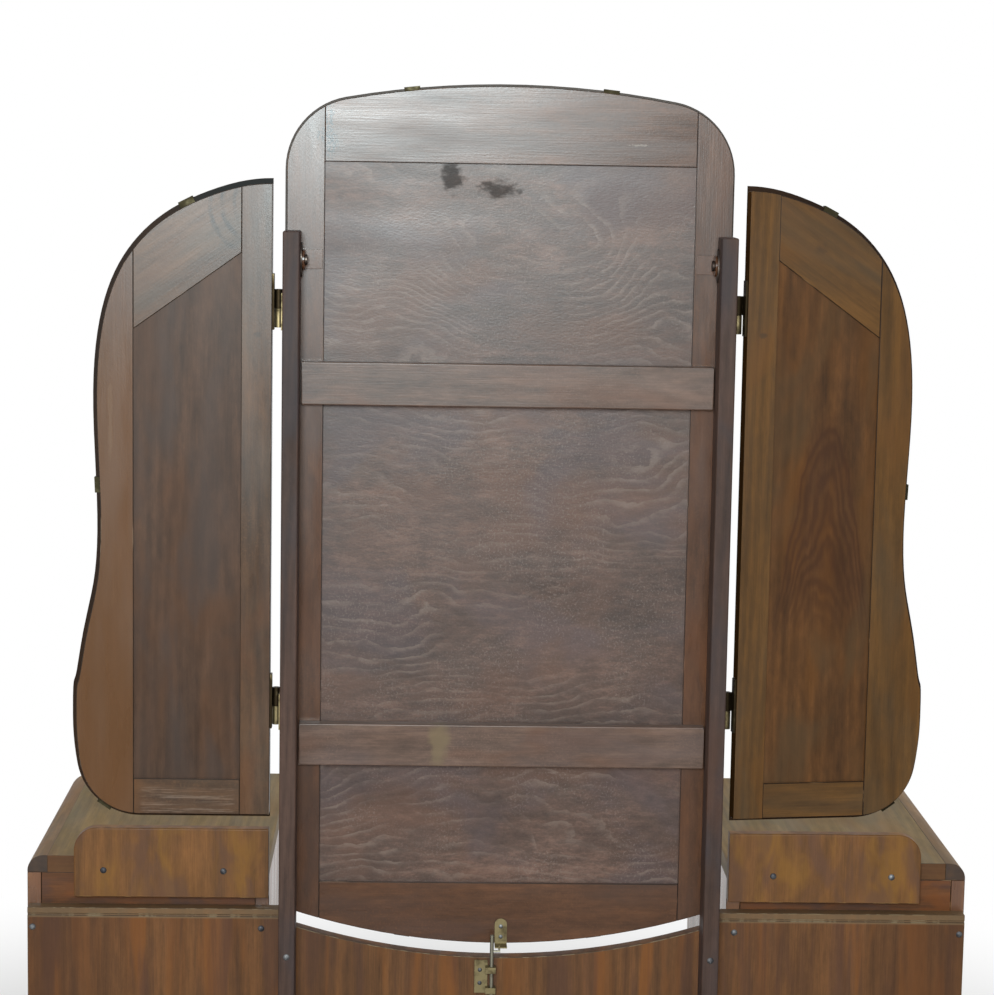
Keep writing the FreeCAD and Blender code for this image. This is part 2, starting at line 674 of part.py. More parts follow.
def toe_circle():
    """The bulge's centre and the toe's centre: the toe touches the foot line and the bulge."""
    widest = wing_places(WING_EDGE_WIDTH_SHARES[-1:], WING_EDGE_HEIGHT_SHARES[-1:])[0]
    bulge_centre = widest - Vector(WING_BULGE, 0, 0)
    rise = WING_FOOT + WING_TOE - widest.z
    run = math.sqrt((WING_BULGE - WING_TOE) ** 2 - rise ** 2)
    toe_centre = bulge_centre + Vector(run, 0, rise)
    return bulge_centre, toe_centre, math.atan2(rise, run)


def wing_outline(inset):
    """The wing's closed outline, its free edge drawn in by inset."""
    points = wing_places(WING_EDGE_WIDTH_SHARES, WING_EDGE_HEIGHT_SHARES)
    curve = waisted_curve(points)
    if inset:
        offsets = [outward_from(curve, point) for point in points]
        curve = waisted_curve([place - outward * inset for place, outward in offsets])
    bulge_centre, toe_centre, lean = toe_circle()
    toe = WING_TOE - inset
    quarter = math.pi / 2
    foot = on_circle(toe_centre, toe, -quarter)
    hinge_foot = Vector(WING_EDGE_X, 0, foot.z)
    return Part.Wire([
        curve.toShape(),
        arc(bulge_centre, WING_BULGE - inset, 0, lean),
        arc(toe_centre, toe, lean, -quarter),
        Part.makeLine(foot, hinge_foot),
        Part.makeLine(hinge_foot, curve.StartPoint),
    ])


def wing():
    """Every piece of the right wing except its hinges and clips."""
    board = slab(wing_outline(WING_OVERHANG), WING_FRONT_Y, FRAME_BOARD)
    near = WING_EDGE_X + WING_STILE
    far = WING_EDGE_X + WING_WIDTH - WING_OUTER_STILE
    foot_z = WING_FOOT + WING_FOOT_RAIL
    near_z, far_z = [WING_FOOT + share * WING_HEIGHT for share in WING_RAIL_HEIGHT_SHARES]
    panel_y = WING_FRONT_Y + FRAME_BOARD - WING_PANEL_RECESS - PLY
    slope = (near_z - far_z) / (far - near)
    lift = GROOVE_DEPTH * math.sqrt(1 + slope ** 2)
    panel_near = near - GROOVE_DEPTH
    panel_far = far + GROOVE_DEPTH
    panel_outline = polygon([
        (panel_near, foot_z - GROOVE_DEPTH),
        (panel_far, foot_z - GROOVE_DEPTH),
        (panel_far, far_z + lift - GROOVE_DEPTH * slope),
        (panel_near, near_z + lift + GROOVE_DEPTH * slope),
    ])
    panel = slab(panel_outline, panel_y, PLY)
    grooved = board.cut(panel)
    low = WING_FOOT - CUT_OVERRUN
    high = WING_FOOT + WING_HEIGHT + CUT_OVERRUN
    hinge_stile = frame_piece(grooved, (WING_EDGE_X - CUT_OVERRUN, near), (low, high))
    outer_stile = frame_piece(grooved, (far, WING_EDGE_X + WING_WIDTH + CUT_OVERRUN), (low, high))
    foot_rail = frame_piece(grooved, (near, far), (low, foot_z))
    above = slab(
        polygon([(near, near_z), (far, far_z), (far, high), (near, high)]),
        WING_FRONT_Y - CUT_OVERRUN,
        FRAME_BOARD + 2 * CUT_OVERRUN,
    )
    top_rail = grooved.common(above)
    glass = slab(wing_outline(0), WING_FRONT_Y - GLASS, GLASS)
    return [hinge_stile, outer_stile, top_rail, foot_rail], panel, glass


def wing_clips():
    """The clips round the right wing's free edge."""
    board = slab(wing_outline(WING_OVERHANG), WING_FRONT_Y, FRAME_BOARD)
    curve = waisted_curve(wing_places(WING_EDGE_WIDTH_SHARES, WING_EDGE_HEIGHT_SHARES))
    _, toe_centre, _ = toe_circle()
    places = wing_places(WING_CLIP_WIDTH_SHARES, WING_CLIP_HEIGHT_SHARES)
    spots = [outward_from(curve, place) for place in places]
    toe_outward = on_circle(ORIGIN, 1, -WING_TOE_CLIP_SHARE * math.pi / 2)
    spots.append((toe_centre + toe_outward * WING_TOE, toe_outward))
    front_y = WING_FRONT_Y - GLASS
    return [
        clip((spot.x, spot.z), (outward.x, outward.z), WING_OVERHANG, front_y, board)
        for spot, outward in spots
    ]


# Lift-off hinges: the post's leaf carries a pin, and the wing's knuckle drops over it
HINGE_HEIGHT_SHARES = (0.177, 0.801)
HINGE_HEIGHTS = [WING_FOOT + share * WING_HEIGHT for share in HINGE_HEIGHT_SHARES]
HINGE_LEAF = 2.5
KNUCKLE_RADIUS = 5.0
KNUCKLE_HEIGHT = 24.0
PIN_RADIUS = 2.5
PIN_RISE = 20.0
WING_LEAF_RISE = 44.0
POST_LEAF_RISE = 20.0
LEAF_DROP = 26.0
POST_LEAF_WIDTH = 22.0
WING_LEAF_WIDTH = 14.0
LEAF_CLEAR = 1.0
HINGE_X = (POST_OUTER_X + WING_EDGE_X) / 2
HINGE_Y = WING_FRONT_Y - KNUCKLE_RADIUS


def hinge_leaf(x_span, far_y, knuckle_span, leaf_span):
    """A leaf against a face, joined to its knuckle and notched clear of the other one."""
    clear_y = HINGE_Y + KNUCKLE_RADIUS + LEAF_CLEAR
    tab = block(x_span, (HINGE_Y, far_y), knuckle_span)
    leaf = block(x_span, (clear_y, far_y), leaf_span)
    centre = Vector(HINGE_X, HINGE_Y, knuckle_span[0])
    knuckle = Part.makeCylinder(KNUCKLE_RADIUS, knuckle_span[1] - knuckle_span[0], centre)
    return fused([tab, leaf, knuckle])


def post_leaf(level):
    """The post's half of one hinge, with its pin."""
    knuckle_span = (level - KNUCKLE_HEIGHT, level - SLIP)
    leaf_span = (level - LEAF_DROP, level + POST_LEAF_RISE)
    far_y = PANEL_BACK_Y + POST_LEAF_WIDTH
    x_span = (POST_OUTER_X, POST_OUTER_X + HINGE_LEAF)
    leaf = hinge_leaf(x_span, far_y, knuckle_span, leaf_span)
    foot = Vector(HINGE_X, HINGE_Y, knuckle_span[0])
    pin = Part.makeCylinder(PIN_RADIUS, KNUCKLE_HEIGHT + PIN_RISE, foot)
    return fused([leaf, pin])


def wing_leaf(level):
    """The wing's half of one hinge, bored for the pin."""
    knuckle_span = (level, level + KNUCKLE_HEIGHT)
    leaf_span = (level - LEAF_DROP, level + WING_LEAF_RISE)
    far_y = WING_FRONT_Y + WING_LEAF_WIDTH
    leaf = hinge_leaf((WING_EDGE_X - HINGE_LEAF, WING_EDGE_X), far_y, knuckle_span, leaf_span)
    foot = Vector(HINGE_X, HINGE_Y, level - CUT_OVERRUN)
    bore = Part.makeCylinder(PIN_RADIUS + RUNNING_FIT, KNUCKLE_HEIGHT + 2 * CUT_OVERRUN, foot)
    return leaf.cut(bore)


# Mirror pivots: a leaf-shaped plate and headed pin on each post, and a bracket on the mirror
PIVOT_DROP = 36.0
PIVOT_HEIGHT = POST_TOP - PIVOT_DROP
PIVOT_SETBACK = 12.0
PIVOT_Y = PANEL_BACK_Y + PIVOT_SETBACK
PIVOT_PLATE = 2.0
PIVOT_PLATE_HEIGHT = 43.0
PIVOT_PLATE_WIDTH = 22.0
PIVOT_PIN_RADIUS = 3.0
PIVOT_HEAD_RADIUS = 6.5
PIVOT_HEAD = 3.0
PIVOT_SIDE_GAP = 0.4
BRACKET_METAL = 2.5
BRACKET_HEIGHT = 24.0
BRACKET_FOOT = 24.0
PLATE_SCREW_RADIUS = 2.8
PLATE_SCREW_HEAD = 1.2


def along_x(radius, x_low, length, y, z):
    """A round bar along X."""
    return Part.makeCylinder(radius, length, Vector(x_low, y, z), Vector(1, 0, 0))


def pivot_plate():
    """The right post's leaf-shaped plate with its headed pin."""
    plate_x = POST_INNER_X - PIVOT_PLATE
    tip_high = Vector(plate_x, PIVOT_Y, PIVOT_HEIGHT + PIVOT_PLATE_HEIGHT / 2)
    tip_low = Vector(plate_x, PIVOT_Y, PIVOT_HEIGHT - PIVOT_PLATE_HEIGHT / 2)
    near = Vector(plate_x, PIVOT_Y - PIVOT_PLATE_WIDTH / 2, PIVOT_HEIGHT)
    far = Vector(plate_x, PIVOT_Y + PIVOT_PLATE_WIDTH / 2, PIVOT_HEIGHT)
    outline = Part.Wire([
        Part.Arc(tip_low, near, tip_high).toShape(),
        Part.Arc(tip_high, far, tip_low).toShape(),
    ])
    plate = Part.Face(outline).extrude(Vector(PIVOT_PLATE, 0, 0))
    bracket_zone = BRACKET_METAL + 2 * PIVOT_SIDE_GAP
    head_x = plate_x - bracket_zone - PIVOT_HEAD
    pin = along_x(PIVOT_PIN_RADIUS, head_x, plate_x - head_x, PIVOT_Y, PIVOT_HEIGHT)
    head = along_x(PIVOT_HEAD_RADIUS, head_x, PIVOT_HEAD, PIVOT_Y, PIVOT_HEIGHT)
    return fused([plate, pin, head])


def pivot_bracket():
    """The angle bracket on the mirror's back that turns on the right pin."""
    outer_x = POST_INNER_X - PIVOT_PLATE - PIVOT_SIDE_GAP
    z_span = (PIVOT_HEIGHT - BRACKET_HEIGHT / 2, PIVOT_HEIGHT + BRACKET_HEIGHT / 2)
    ear_y = PIVOT_Y + BRACKET_HEIGHT / 2
    ear = block((outer_x - BRACKET_METAL, outer_x), (FRAME_BACK_Y, ear_y), z_span)
    ear = soften(ear, BRACKET_HEIGHT / 2 - SLIP, lambda box: box.YMin > ear_y - SLIP
                 and box.ZLength < SLIP)
    foot_y = (FRAME_BACK_Y, FRAME_BACK_Y + BRACKET_METAL)
    foot = block((outer_x - BRACKET_FOOT, outer_x), foot_y, z_span)
    bracket = fused([ear, foot])
    bore_x = outer_x - BRACKET_METAL - CUT_OVERRUN
    bore_length = BRACKET_METAL + 2 * CUT_OVERRUN
    bore_radius = PIVOT_PIN_RADIUS + RUNNING_FIT
    return bracket.cut(along_x(bore_radius, bore_x, bore_length, PIVOT_Y, PIVOT_HEIGHT))


# Mirror bolt: a steel rod that slides in a brass guide, with a finger that hooks the mirror's catch
CATCH_METAL = 1.5
CATCH_X_LOW = -11.5
CATCH_X_HIGH = 4.4
CATCH_ROUND = (CATCH_X_HIGH - CATCH_X_LOW) / 2 - SLIP
CATCH_HEIGHT = 34.5
CATCH_REACH = 19.0
CATCH_HOLE = 2.3
CATCH_RISE = 1.5
CATCH_LIP_Z = MIRROR_FOOT + CATCH_RISE
CATCH_TOP = CATCH_LIP_Z + CATCH_HEIGHT
ROD_X = 8.0
ROD_RADIUS = 2.5
ROD_SETBACK = 7.0
ROD_Y = PANEL_BACK_Y + ROD_SETBACK
ROD_RISE = 21.5
ROD_TAIL = 10.0
ROD_KNOB_RADIUS = 4.5
ROD_KNOB_HEIGHT = 7.0
FINGER_RADIUS = 1.5
FINGER_TIP_RADIUS = 1.3
FINGER_LENGTH = 11.0
FINGER_RISE = 4.0
FINGER_GAP = 1.0
FINGER_Z = CATCH_LIP_Z - FINGER_GAP - FINGER_RISE
GUIDE_X_LOW = 13.0
GUIDE_X_HIGH = 30.0
GUIDE_LENGTH = 44.0
GUIDE_DROP = 3.0
GUIDE_TOP = WELL_PANEL_TOP - GUIDE_DROP
GUIDE_FOOT = GUIDE_TOP - GUIDE_LENGTH
GUIDE_METAL = 1.5
GUIDE_EAR_WALL = 3.0
GUIDE_EAR_HEIGHT = 8.0
GUIDE_EAR_INSET = 7.0


def catch_plate():
    """The plate on the foot of the mirror, with a lip that is holed for the finger's tip."""
    x_span = (CATCH_X_LOW, CATCH_X_HIGH)
    plate = block(x_span, (FRAME_BACK_Y, FRAME_BACK_Y + CATCH_METAL), (CATCH_LIP_Z, CATCH_TOP))
    plate = soften(plate, CATCH_ROUND, lambda box: box.ZMin > CATCH_TOP - SLIP
                   and box.XLength < SLIP)
    lip_z = (CATCH_LIP_Z, CATCH_LIP_Z + CATCH_METAL)
    lip = block(x_span, (FRAME_BACK_Y, FRAME_BACK_Y + CATCH_REACH), lip_z)
    hole_foot = Vector(ROD_X - FINGER_LENGTH + FINGER_RADIUS, ROD_Y, CATCH_LIP_Z - CUT_OVERRUN)
    hole = Part.makeCylinder(CATCH_HOLE, 2 * CUT_OVERRUN, hole_foot)
    return fused([plate, lip]).cut(hole)


def bolt_rod():
    """The sliding rod with its finger and its foot knob."""
    low_z = GUIDE_FOOT - ROD_TAIL
    rod = Part.makeCylinder(ROD_RADIUS, FINGER_Z + ROD_RISE - low_z, Vector(ROD_X, ROD_Y, low_z))
    knob_foot = Vector(ROD_X, ROD_Y, low_z - ROD_KNOB_HEIGHT)
    foot = Part.makeCylinder(ROD_KNOB_RADIUS, ROD_KNOB_HEIGHT, knob_foot)
    finger_x = ROD_X - FINGER_LENGTH
    finger = along_x(FINGER_RADIUS, finger_x, FINGER_LENGTH, ROD_Y, FINGER_Z)
    tip_foot = Vector(finger_x + FINGER_RADIUS, ROD_Y, FINGER_Z)
    tip = Part.makeCylinder(FINGER_TIP_RADIUS, FINGER_RISE, tip_foot)
    return fused([rod, foot, finger, tip])


def bolt_guide():
    """The guide plate on the well panel, with two bored ears that the rod slides in."""
    plate_y = (PANEL_BACK_Y, PANEL_BACK_Y + GUIDE_METAL)
    plate = block((GUIDE_X_LOW, GUIDE_X_HIGH), plate_y, (GUIDE_FOOT, GUIDE_TOP))
    ear_x = (ROD_X - ROD_RADIUS - GUIDE_EAR_WALL, GUIDE_X_LOW + GUIDE_EAR_WALL)
    ear_y = (PANEL_BACK_Y + GUIDE_METAL - SLIP, ROD_Y + ROD_RADIUS + GUIDE_EAR_WALL)
    levels = (GUIDE_FOOT + GUIDE_METAL, GUIDE_TOP - GUIDE_EAR_INSET - GUIDE_EAR_HEIGHT)
    ears = [block(ear_x, ear_y, (level, level + GUIDE_EAR_HEIGHT)) for level in levels]
    bore_foot = Vector(ROD_X, ROD_Y, GUIDE_FOOT - CUT_OVERRUN)
    bore_length = GUIDE_LENGTH + 2 * CUT_OVERRUN
    bore = Part.makeCylinder(ROD_RADIUS + RUNNING_FIT, bore_length, bore_foot)
    return fused([plate] + ears).cut(bore)


# Screws: round heads on the posts, the gallery boards and the back panels
SCREW_RADIUS = 4.2
SCREW_EDGE = 9.0
POST_SCREW_RISE = 48.0
POST_SCREW_DROP = 113.0
PANEL_SCREW_DROP = 26.0
GALLERY_SCREW_DROP = 14.0
GALLERY_SCREW_NEAR = 58.0
GALLERY_SCREW_FAR = 38.0
PLATE_SCREW_SHARE = 0.3


def screw_head(x, y, z, radius=SCREW_RADIUS, height=SCREW_HEAD):
    """A domed screw head on a face that looks towards +Y."""
    sphere_radius = (radius ** 2 + height ** 2) / (2 * height)
    ball = Part.makeSphere(sphere_radius, Vector(x, y + height - sphere_radius, z))
    keep = block((x - radius, x + radius), (y, y + height), (z - radius, z + radius))
    return ball.common(keep)


def back_screws():
    """The screw heads that show on the right half of the back."""
    post_levels = (POST_FOOT + POST_SCREW_RISE, TOP_HEIGHT - POST_SCREW_DROP)
    screws = [screw_head(POST_MIDDLE_X, POST_BACK_Y, z) for z in post_levels]
    gallery_back = CARCASS_BACK_Y + GALLERY_BOARD
    gallery_z = TOP_HEIGHT - GALLERY_SCREW_DROP
    gallery_ends = (INNER_X + GALLERY_SCREW_NEAR, GALLERY_END_X - GALLERY_SCREW_FAR)
    screws += [screw_head(x, gallery_back, gallery_z) for x in gallery_ends]
    low_z = LEG_HEIGHT + PANEL_SCREW_DROP
    high_z = TOP_HEIGHT - PANEL_TOP_DROP - PANEL_SCREW_DROP
    columns = (INNER_X + SCREW_EDGE, OUTER_X - SCREW_EDGE)
    for x in columns:
        screws += [screw_head(x, PANEL_BACK_Y, z) for z in (low_z, (low_z + high_z) / 2, high_z)]
    return screws


def small_screw(x, y, z):
    """A fitting's small screw head on a face that looks towards +Y."""
    return screw_head(x, y, z, PLATE_SCREW_RADIUS, PLATE_SCREW_HEAD)


def save_carcass():
    """The fixed pieces that make up the pedestals and the well."""
    board, strip = split_top()
    save("pedestal_right_top", [board])
    save("pedestal_left_top", [mirrored(board)])
    save("top_lipping_strips", both_sides([strip]))
    side = outer_side()
    save("pedestal_right_outer_side", [side])
    save("pedestal_left_outer_side", [mirrored(side)])
    wall = inner_side()
    save("pedestal_right_inner_side", [wall])
    save("pedestal_left_inner_side", [mirrored(wall)])
    save("drawer_rails", both_sides(pedestal_rails()))
    save("pedestal_bottoms", both_sides([pedestal_bottom()]))
    save("back_rails", both_sides([back_rail()]))
    runners = pedestal_runners(LOWER_OPENING_Z) + pedestal_runners(UPPER_OPENING_Z) + [well_runner()]
    save("drawer_runners", both_sides(runners))
    save("well_platform", [platform()])
    save("well_front_rail", [well_rail()])
    save("well_back_panel", [well_panel()])
    panel = side_panel()
    save("back_panel_right", [panel])
    save("back_panel_left", [mirrored(panel)])
    save("gallery_boards", both_sides([gallery()]))
    save("front_legs", both_sides(front_legs()))
    save("back_legs", both_sides(back_legs()))
    upright = post()
    save("mirror_post_right", [upright])
    save("mirror_post_left", [mirrored(upright)])
    save("back_screws", both_sides(back_screws()))


def save_drawers():
    """The five drawers, each as a front, a box and its knobs."""
    upper_span = (UPPER_OPENING_Z, UPPER_OPENING_Z + OPENING_HEIGHT)
    lower_span = (LOWER_OPENING_Z, LOWER_OPENING_Z + OPENING_HEIGHT)
    for level, z_span in (("upper", upper_span), ("lower", lower_span)):
        x_span = (BAY_INNER_X, BAY_OUTER_X)
        front = drawer_front(x_span, FACE_Y, z_span)
        box = drawer_box(x_span, FACE_Y, z_span)
        pull = knob((BAY_INNER_X + BAY_OUTER_X) / 2, FACE_Y, sum(z_span) / 2)
        save("drawer_right_" + level + "_front", [front])
        save("drawer_right_" + level + "_box", box)
        save("drawer_right_" + level + "_knob", [pull])
        save("drawer_left_" + level + "_front", [mirrored(front)])
        save("drawer_left_" + level + "_box", [mirrored(piece) for piece in box])
        save("drawer_left_" + level + "_knob", [mirrored(pull)])
    x_span = (-INNER_X, INNER_X)
    z_span = (LOWER_OPENING_Z, PLATFORM_HEIGHT - PLATFORM_BOARD)
    face_y = FACE_Y + PLATFORM_SETBACK
    save("drawer_centre_front", [drawer_front(x_span, face_y, z_span)])
    save("drawer_centre_box", drawer_box(x_span, face_y, z_span))
    save("drawer_centre_knobs", both_sides([knob(WELL_KNOB_OFFSET, face_y, sum(z_span) / 2)]))


def save_centre_mirror():
    """The centre mirror with its pivots, clips, catch and bolt."""
    stiles, rails, panel, battens, glass = centre_mirror()
    save("mirror_stiles", stiles)
    save("mirror_rails", rails)
    save("mirror_panel", [panel])
    save("mirror_battens", battens)
    save("mirror_glass", [glass])
    save("mirror_clips", centre_clips())
    save("pivot_brackets", both_sides([pivot_bracket()]))
    save("pivot_plates", both_sides([pivot_plate()]))
    catch = catch_plate()
    catch_back = FRAME_BACK_Y + CATCH_METAL
    catch_rise = CATCH_TOP - CATCH_LIP_Z
    middle_x = (CATCH_X_LOW + CATCH_X_HIGH) / 2
    catch_screws = [
        small_screw(middle_x, catch_back, CATCH_LIP_Z + catch_rise * PLATE_SCREW_SHARE),
        small_screw(middle_x, catch_back, CATCH_TOP - catch_rise * PLATE_SCREW_SHARE),
    ]
    save("mirror_catch", [catch] + catch_screws)
    save("mirror_bolt_rod", [bolt_rod()])
    guide_rise = GUIDE_TOP - GUIDE_FOOT
    guide_x = (GUIDE_X_LOW + GUIDE_X_HIGH) / 2 + GUIDE_METAL
    guide_screws = [
        small_screw(guide_x, PANEL_BACK_Y + GUIDE_METAL, GUIDE_TOP - guide_rise * share)
        for share in (PLATE_SCREW_SHARE, 1 - PLATE_SCREW_SHARE)
    ]
    save("mirror_bolt_guide", [bolt_guide()] + guide_screws)


def at_rest(shapes):
    """Left-hand twins of the right wing's pieces, folded forward as the table is shown."""
    folded = []
    for shape in shapes:
        twin = mirrored(shape)
        twin.rotate(Vector(-HINGE_X, HINGE_Y, 0), UP, WING_REST_ANGLE)
        folded.append(twin)
    return folded


def save_wings():
    """Both wings: the right one in line with the centre mirror, the left one folded a little."""
    frame, panel, glass = wing()
    pieces = {
        "frame": frame,
        "panel": [panel],
        "glass": [glass],
        "clips": wing_clips(),
        "hinge_leaves": [wing_leaf(level) for level in HINGE_HEIGHTS],
    }
    for name, shapes in pieces.items():
        save("wing_right_" + name, shapes)
        save("wing_left_" + name, at_rest(shapes))
    save("post_hinge_leaves", both_sides([post_leaf(level) for level in HINGE_HEIGHTS]))


os.makedirs("parts", exist_ok=True)
save_carcass()
save_drawers()
save_centre_mirror()
save_wings()
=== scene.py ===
# %% [markdown]
# # A dressing table seen from behind
# The measured model holds the table's joinery: every board, fitting and glass at its real size.
# This lesson dresses it. We first load that model as a frame that nothing here moves. Then each
# board gets its arrises and its own grain, the glass, screws and knobs are made, every surface
# gets its finish, and last come the studio and the camera.

# %% Load the measured model
import json
import math
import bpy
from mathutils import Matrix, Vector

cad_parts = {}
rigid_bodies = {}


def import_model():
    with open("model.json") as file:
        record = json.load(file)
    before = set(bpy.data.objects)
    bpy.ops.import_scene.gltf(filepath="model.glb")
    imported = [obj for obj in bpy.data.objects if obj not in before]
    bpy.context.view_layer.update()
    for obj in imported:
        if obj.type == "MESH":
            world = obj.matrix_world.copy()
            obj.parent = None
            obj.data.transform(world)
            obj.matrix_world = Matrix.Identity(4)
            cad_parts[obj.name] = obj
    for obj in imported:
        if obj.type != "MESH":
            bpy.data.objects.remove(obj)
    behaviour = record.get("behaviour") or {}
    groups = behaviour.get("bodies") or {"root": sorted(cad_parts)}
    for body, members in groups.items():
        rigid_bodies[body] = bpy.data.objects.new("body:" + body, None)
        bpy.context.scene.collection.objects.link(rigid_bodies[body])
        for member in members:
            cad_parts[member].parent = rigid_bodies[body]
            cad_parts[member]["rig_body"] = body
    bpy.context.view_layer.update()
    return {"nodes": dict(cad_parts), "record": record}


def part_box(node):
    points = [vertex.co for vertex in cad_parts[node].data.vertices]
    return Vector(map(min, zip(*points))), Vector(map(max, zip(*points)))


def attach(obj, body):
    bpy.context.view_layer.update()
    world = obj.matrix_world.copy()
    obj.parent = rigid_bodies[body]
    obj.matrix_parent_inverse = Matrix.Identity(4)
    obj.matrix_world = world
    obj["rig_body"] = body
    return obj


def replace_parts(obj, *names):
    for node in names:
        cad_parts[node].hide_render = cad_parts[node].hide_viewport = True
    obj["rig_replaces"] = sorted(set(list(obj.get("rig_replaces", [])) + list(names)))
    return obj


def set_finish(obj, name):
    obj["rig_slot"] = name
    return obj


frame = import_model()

import zlib

import bmesh
import bpy
import numpy as np
from mathutils import Matrix, Vector

MM = 0.001
BODY_OF = {node: piece["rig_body"] for node, piece in frame["nodes"].items()}
SLOT_OF = {part["node"]: part["material_slot"] for part in frame["record"]["subparts"]}

# %% [markdown]
# A measured node is a bag of loose triangles, and one node can hold several boards that touch.
# To give each board its own grain we need the boards apart. Touching boards share corner points,
# so walking from neighbour to neighbour would run from one board into the next. Instead we use
# a fact about closed shells: every edge is run once in each direction.

# %% Take a node apart into its closed shells
WELD = 1e-6
EDGE_SEED = 11
EDGE_NUMBERS = 2 ** 40


def node_shells(node):
    """The closed shells of a node, highest first, as pairs of points and triangles.

    Formula: each edge gets one random whole number, counted positive along it and negative
    against it. The running total over the triangles is nought each time a shell has closed."""
    mesh = frame["nodes"][node].data
    points = np.empty(len(mesh.vertices) * 3)
    mesh.vertices.foreach_get("co", points)
    points = points.reshape(-1, 3)
    mesh.calc_loop_triangles()
    corners = np.empty(len(mesh.loop_triangles) * 3, dtype=int)
    mesh.loop_triangles.foreach_get("vertices", corners)
    grid = np.round(points / WELD)
    _, first, merged = np.unique(grid, axis=0, return_index=True, return_inverse=True)
    points = points[first]
    start = merged.reshape(-1)[corners].reshape(-1, 3)
    end = np.roll(start, -1, axis=1)
    pair = np.minimum(start, end) * len(points) + np.maximum(start, end)
    _, edge = np.unique(pair, return_inverse=True)
    numbers = np.random.default_rng(EDGE_SEED).integers(1, EDGE_NUMBERS, edge.max() + 1)
    total = np.cumsum((numbers[edge].reshape(-1, 3) * np.sign(end - start)).sum(axis=1))
    shell = np.concatenate([[0], np.cumsum(total == 0)[:-1]])
    whole = (start != end).all(axis=1)
    shells = []
    for number in range(shell.max() + 1):
        used, triangles = np.unique(start[(shell == number) & whole], return_inverse=True)
        shells.append((points[used], triangles.reshape(-1, 3)))
    return sorted(shells, key=lambda shell: tuple(np.round(-shell[0].mean(axis=0)[[2, 0]], 4)))


print("shells in the left wing's frame:", len(node_shells("wing_left_frame")))

# %% [markdown]
# Every finished piece is a mesh that already lies in its place. One helper builds it, says which
# body it moves with, which measured node it stands for and which finish it takes. Doubled points
# are merged and the faces turned outwards there too, so each shape's own function can stay short.

# %% Put a new piece on its body
FLAT = math.radians(0.5)


def tidy_mesh(mesh, join_flat):
    """Merges doubled points, turns faces outwards and may join the triangles of flat faces."""
    shape = bmesh.new()
    shape.from_mesh(mesh)
    bmesh.ops.remove_doubles(shape, verts=shape.verts, dist=WELD)
    if join_flat:
        bmesh.ops.dissolve_limit(shape, angle_limit=FLAT, verts=shape.verts, edges=shape.edges)
    else:
        bmesh.ops.recalc_face_normals(shape, faces=shape.faces)
    shape.to_mesh(mesh)
    shape.free()


def new_piece(name, points, faces, node, looks=None, join_flat=False):
    """A smooth mesh object that rides on a node's body and stands for the node.

    Looks gives each face the number of its finish, where a piece has more than one."""
    mesh = bpy.data.meshes.new(name)
    mesh.from_pydata(points.tolist(), [], [list(face) for face in faces])
    if looks is not None:
        mesh.polygons.foreach_set("material_index", looks)
    tidy_mesh(mesh, join_flat)
    mesh.shade_smooth()
    piece = bpy.data.objects.new(name, mesh)
    bpy.context.scene.collection.objects.link(piece)
    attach(piece, BODY_OF[node])
    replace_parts(piece, node)
    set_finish(piece, SLOT_OF[node])
    return piece


print("kinds of surface in the measured model:", len(set(SLOT_OF.values())))

# %% [markdown]
# Wood is drawn in the tree's own directions: along the fibres, across them and through the
# rings. Each board stores those three distances at its corner points, in metres, measured from
# its own random place near the trunk's middle, and one chance value between -1 and 1. The left
# wing hangs turned on its hinges, so its boards are measured in the wing's own directions.

# %% Give a board its directions in the tree
ALONG_X = (1, 0, 0)
ALONG_Y = (0, 1, 0)
ALONG_Z = (0, 0, 1)
PITH_ACROSS = 0.07
PITH_NEAR = 0.015
PITH_FAR = 0.09
NEARLY_LEVEL = 0.3


def glass_turn(node):
    """The angle by which a wing is turned about the upright axis, from its glass's widest face."""
    points, triangles = node_shells(node)[0]
    a, b, c = points[triangles[:, 0]], points[triangles[:, 1]], points[triangles[:, 2]]
    normals = np.cross(b - a, c - a)
    x, y, _ = normals[np.argmax(np.linalg.norm(normals, axis=1))]
    return math.atan(-x / y)


WING_TURN = glass_turn("wing_left_glass")


def tree_axes(points, along, turn):
    """Unit vectors along, across and through a board: through is its thinnest direction."""
    cosine, sine = math.cos(turn), math.sin(turn)
    level = np.array([[cosine, sine, 0], [-sine, cosine, 0], [0, 0, 1]])
    size = np.ptp(points @ level.T, axis=0)
    free = np.where(np.abs(along) > NEARLY_LEVEL, np.inf, size)
    through = np.eye(3)[np.argmin(free)]
    across = np.cross(through, along)
    return np.array([along, across, through]) @ level


def set_grain(piece, along, turn=0.0, tone=None):
    """Writes the point attributes grain (metres in the tree) and tone (the board's chance value)."""
    points = np.empty(len(piece.data.vertices) * 3)
    piece.data.vertices.foreach_get("co", points)
    points = points.reshape(-1, 3)
    chance = np.random.default_rng(zlib.crc32(piece.name.encode()))
    pith = np.array([0, chance.uniform(-PITH_ACROSS, PITH_ACROSS), chance.uniform(PITH_NEAR, PITH_FAR)])
    own_tone = chance.uniform(-1, 1) if tone is None else tone
    centre = (points.min(axis=0) + points.max(axis=0)) / 2
    grain = (points - centre) @ tree_axes(points, np.array(along, dtype=float), turn).T + pith
    piece.data.attributes.new("grain", "FLOAT_VECTOR", "POINT").data.foreach_set("vector", grain.ravel())
    tones = np.full(len(points), own_tone)
    piece.data.attributes.new("tone", "FLOAT", "POINT").data.foreach_set("value", tones)


print("left wing turned by", round(math.degrees(WING_TURN), 2), "degrees")

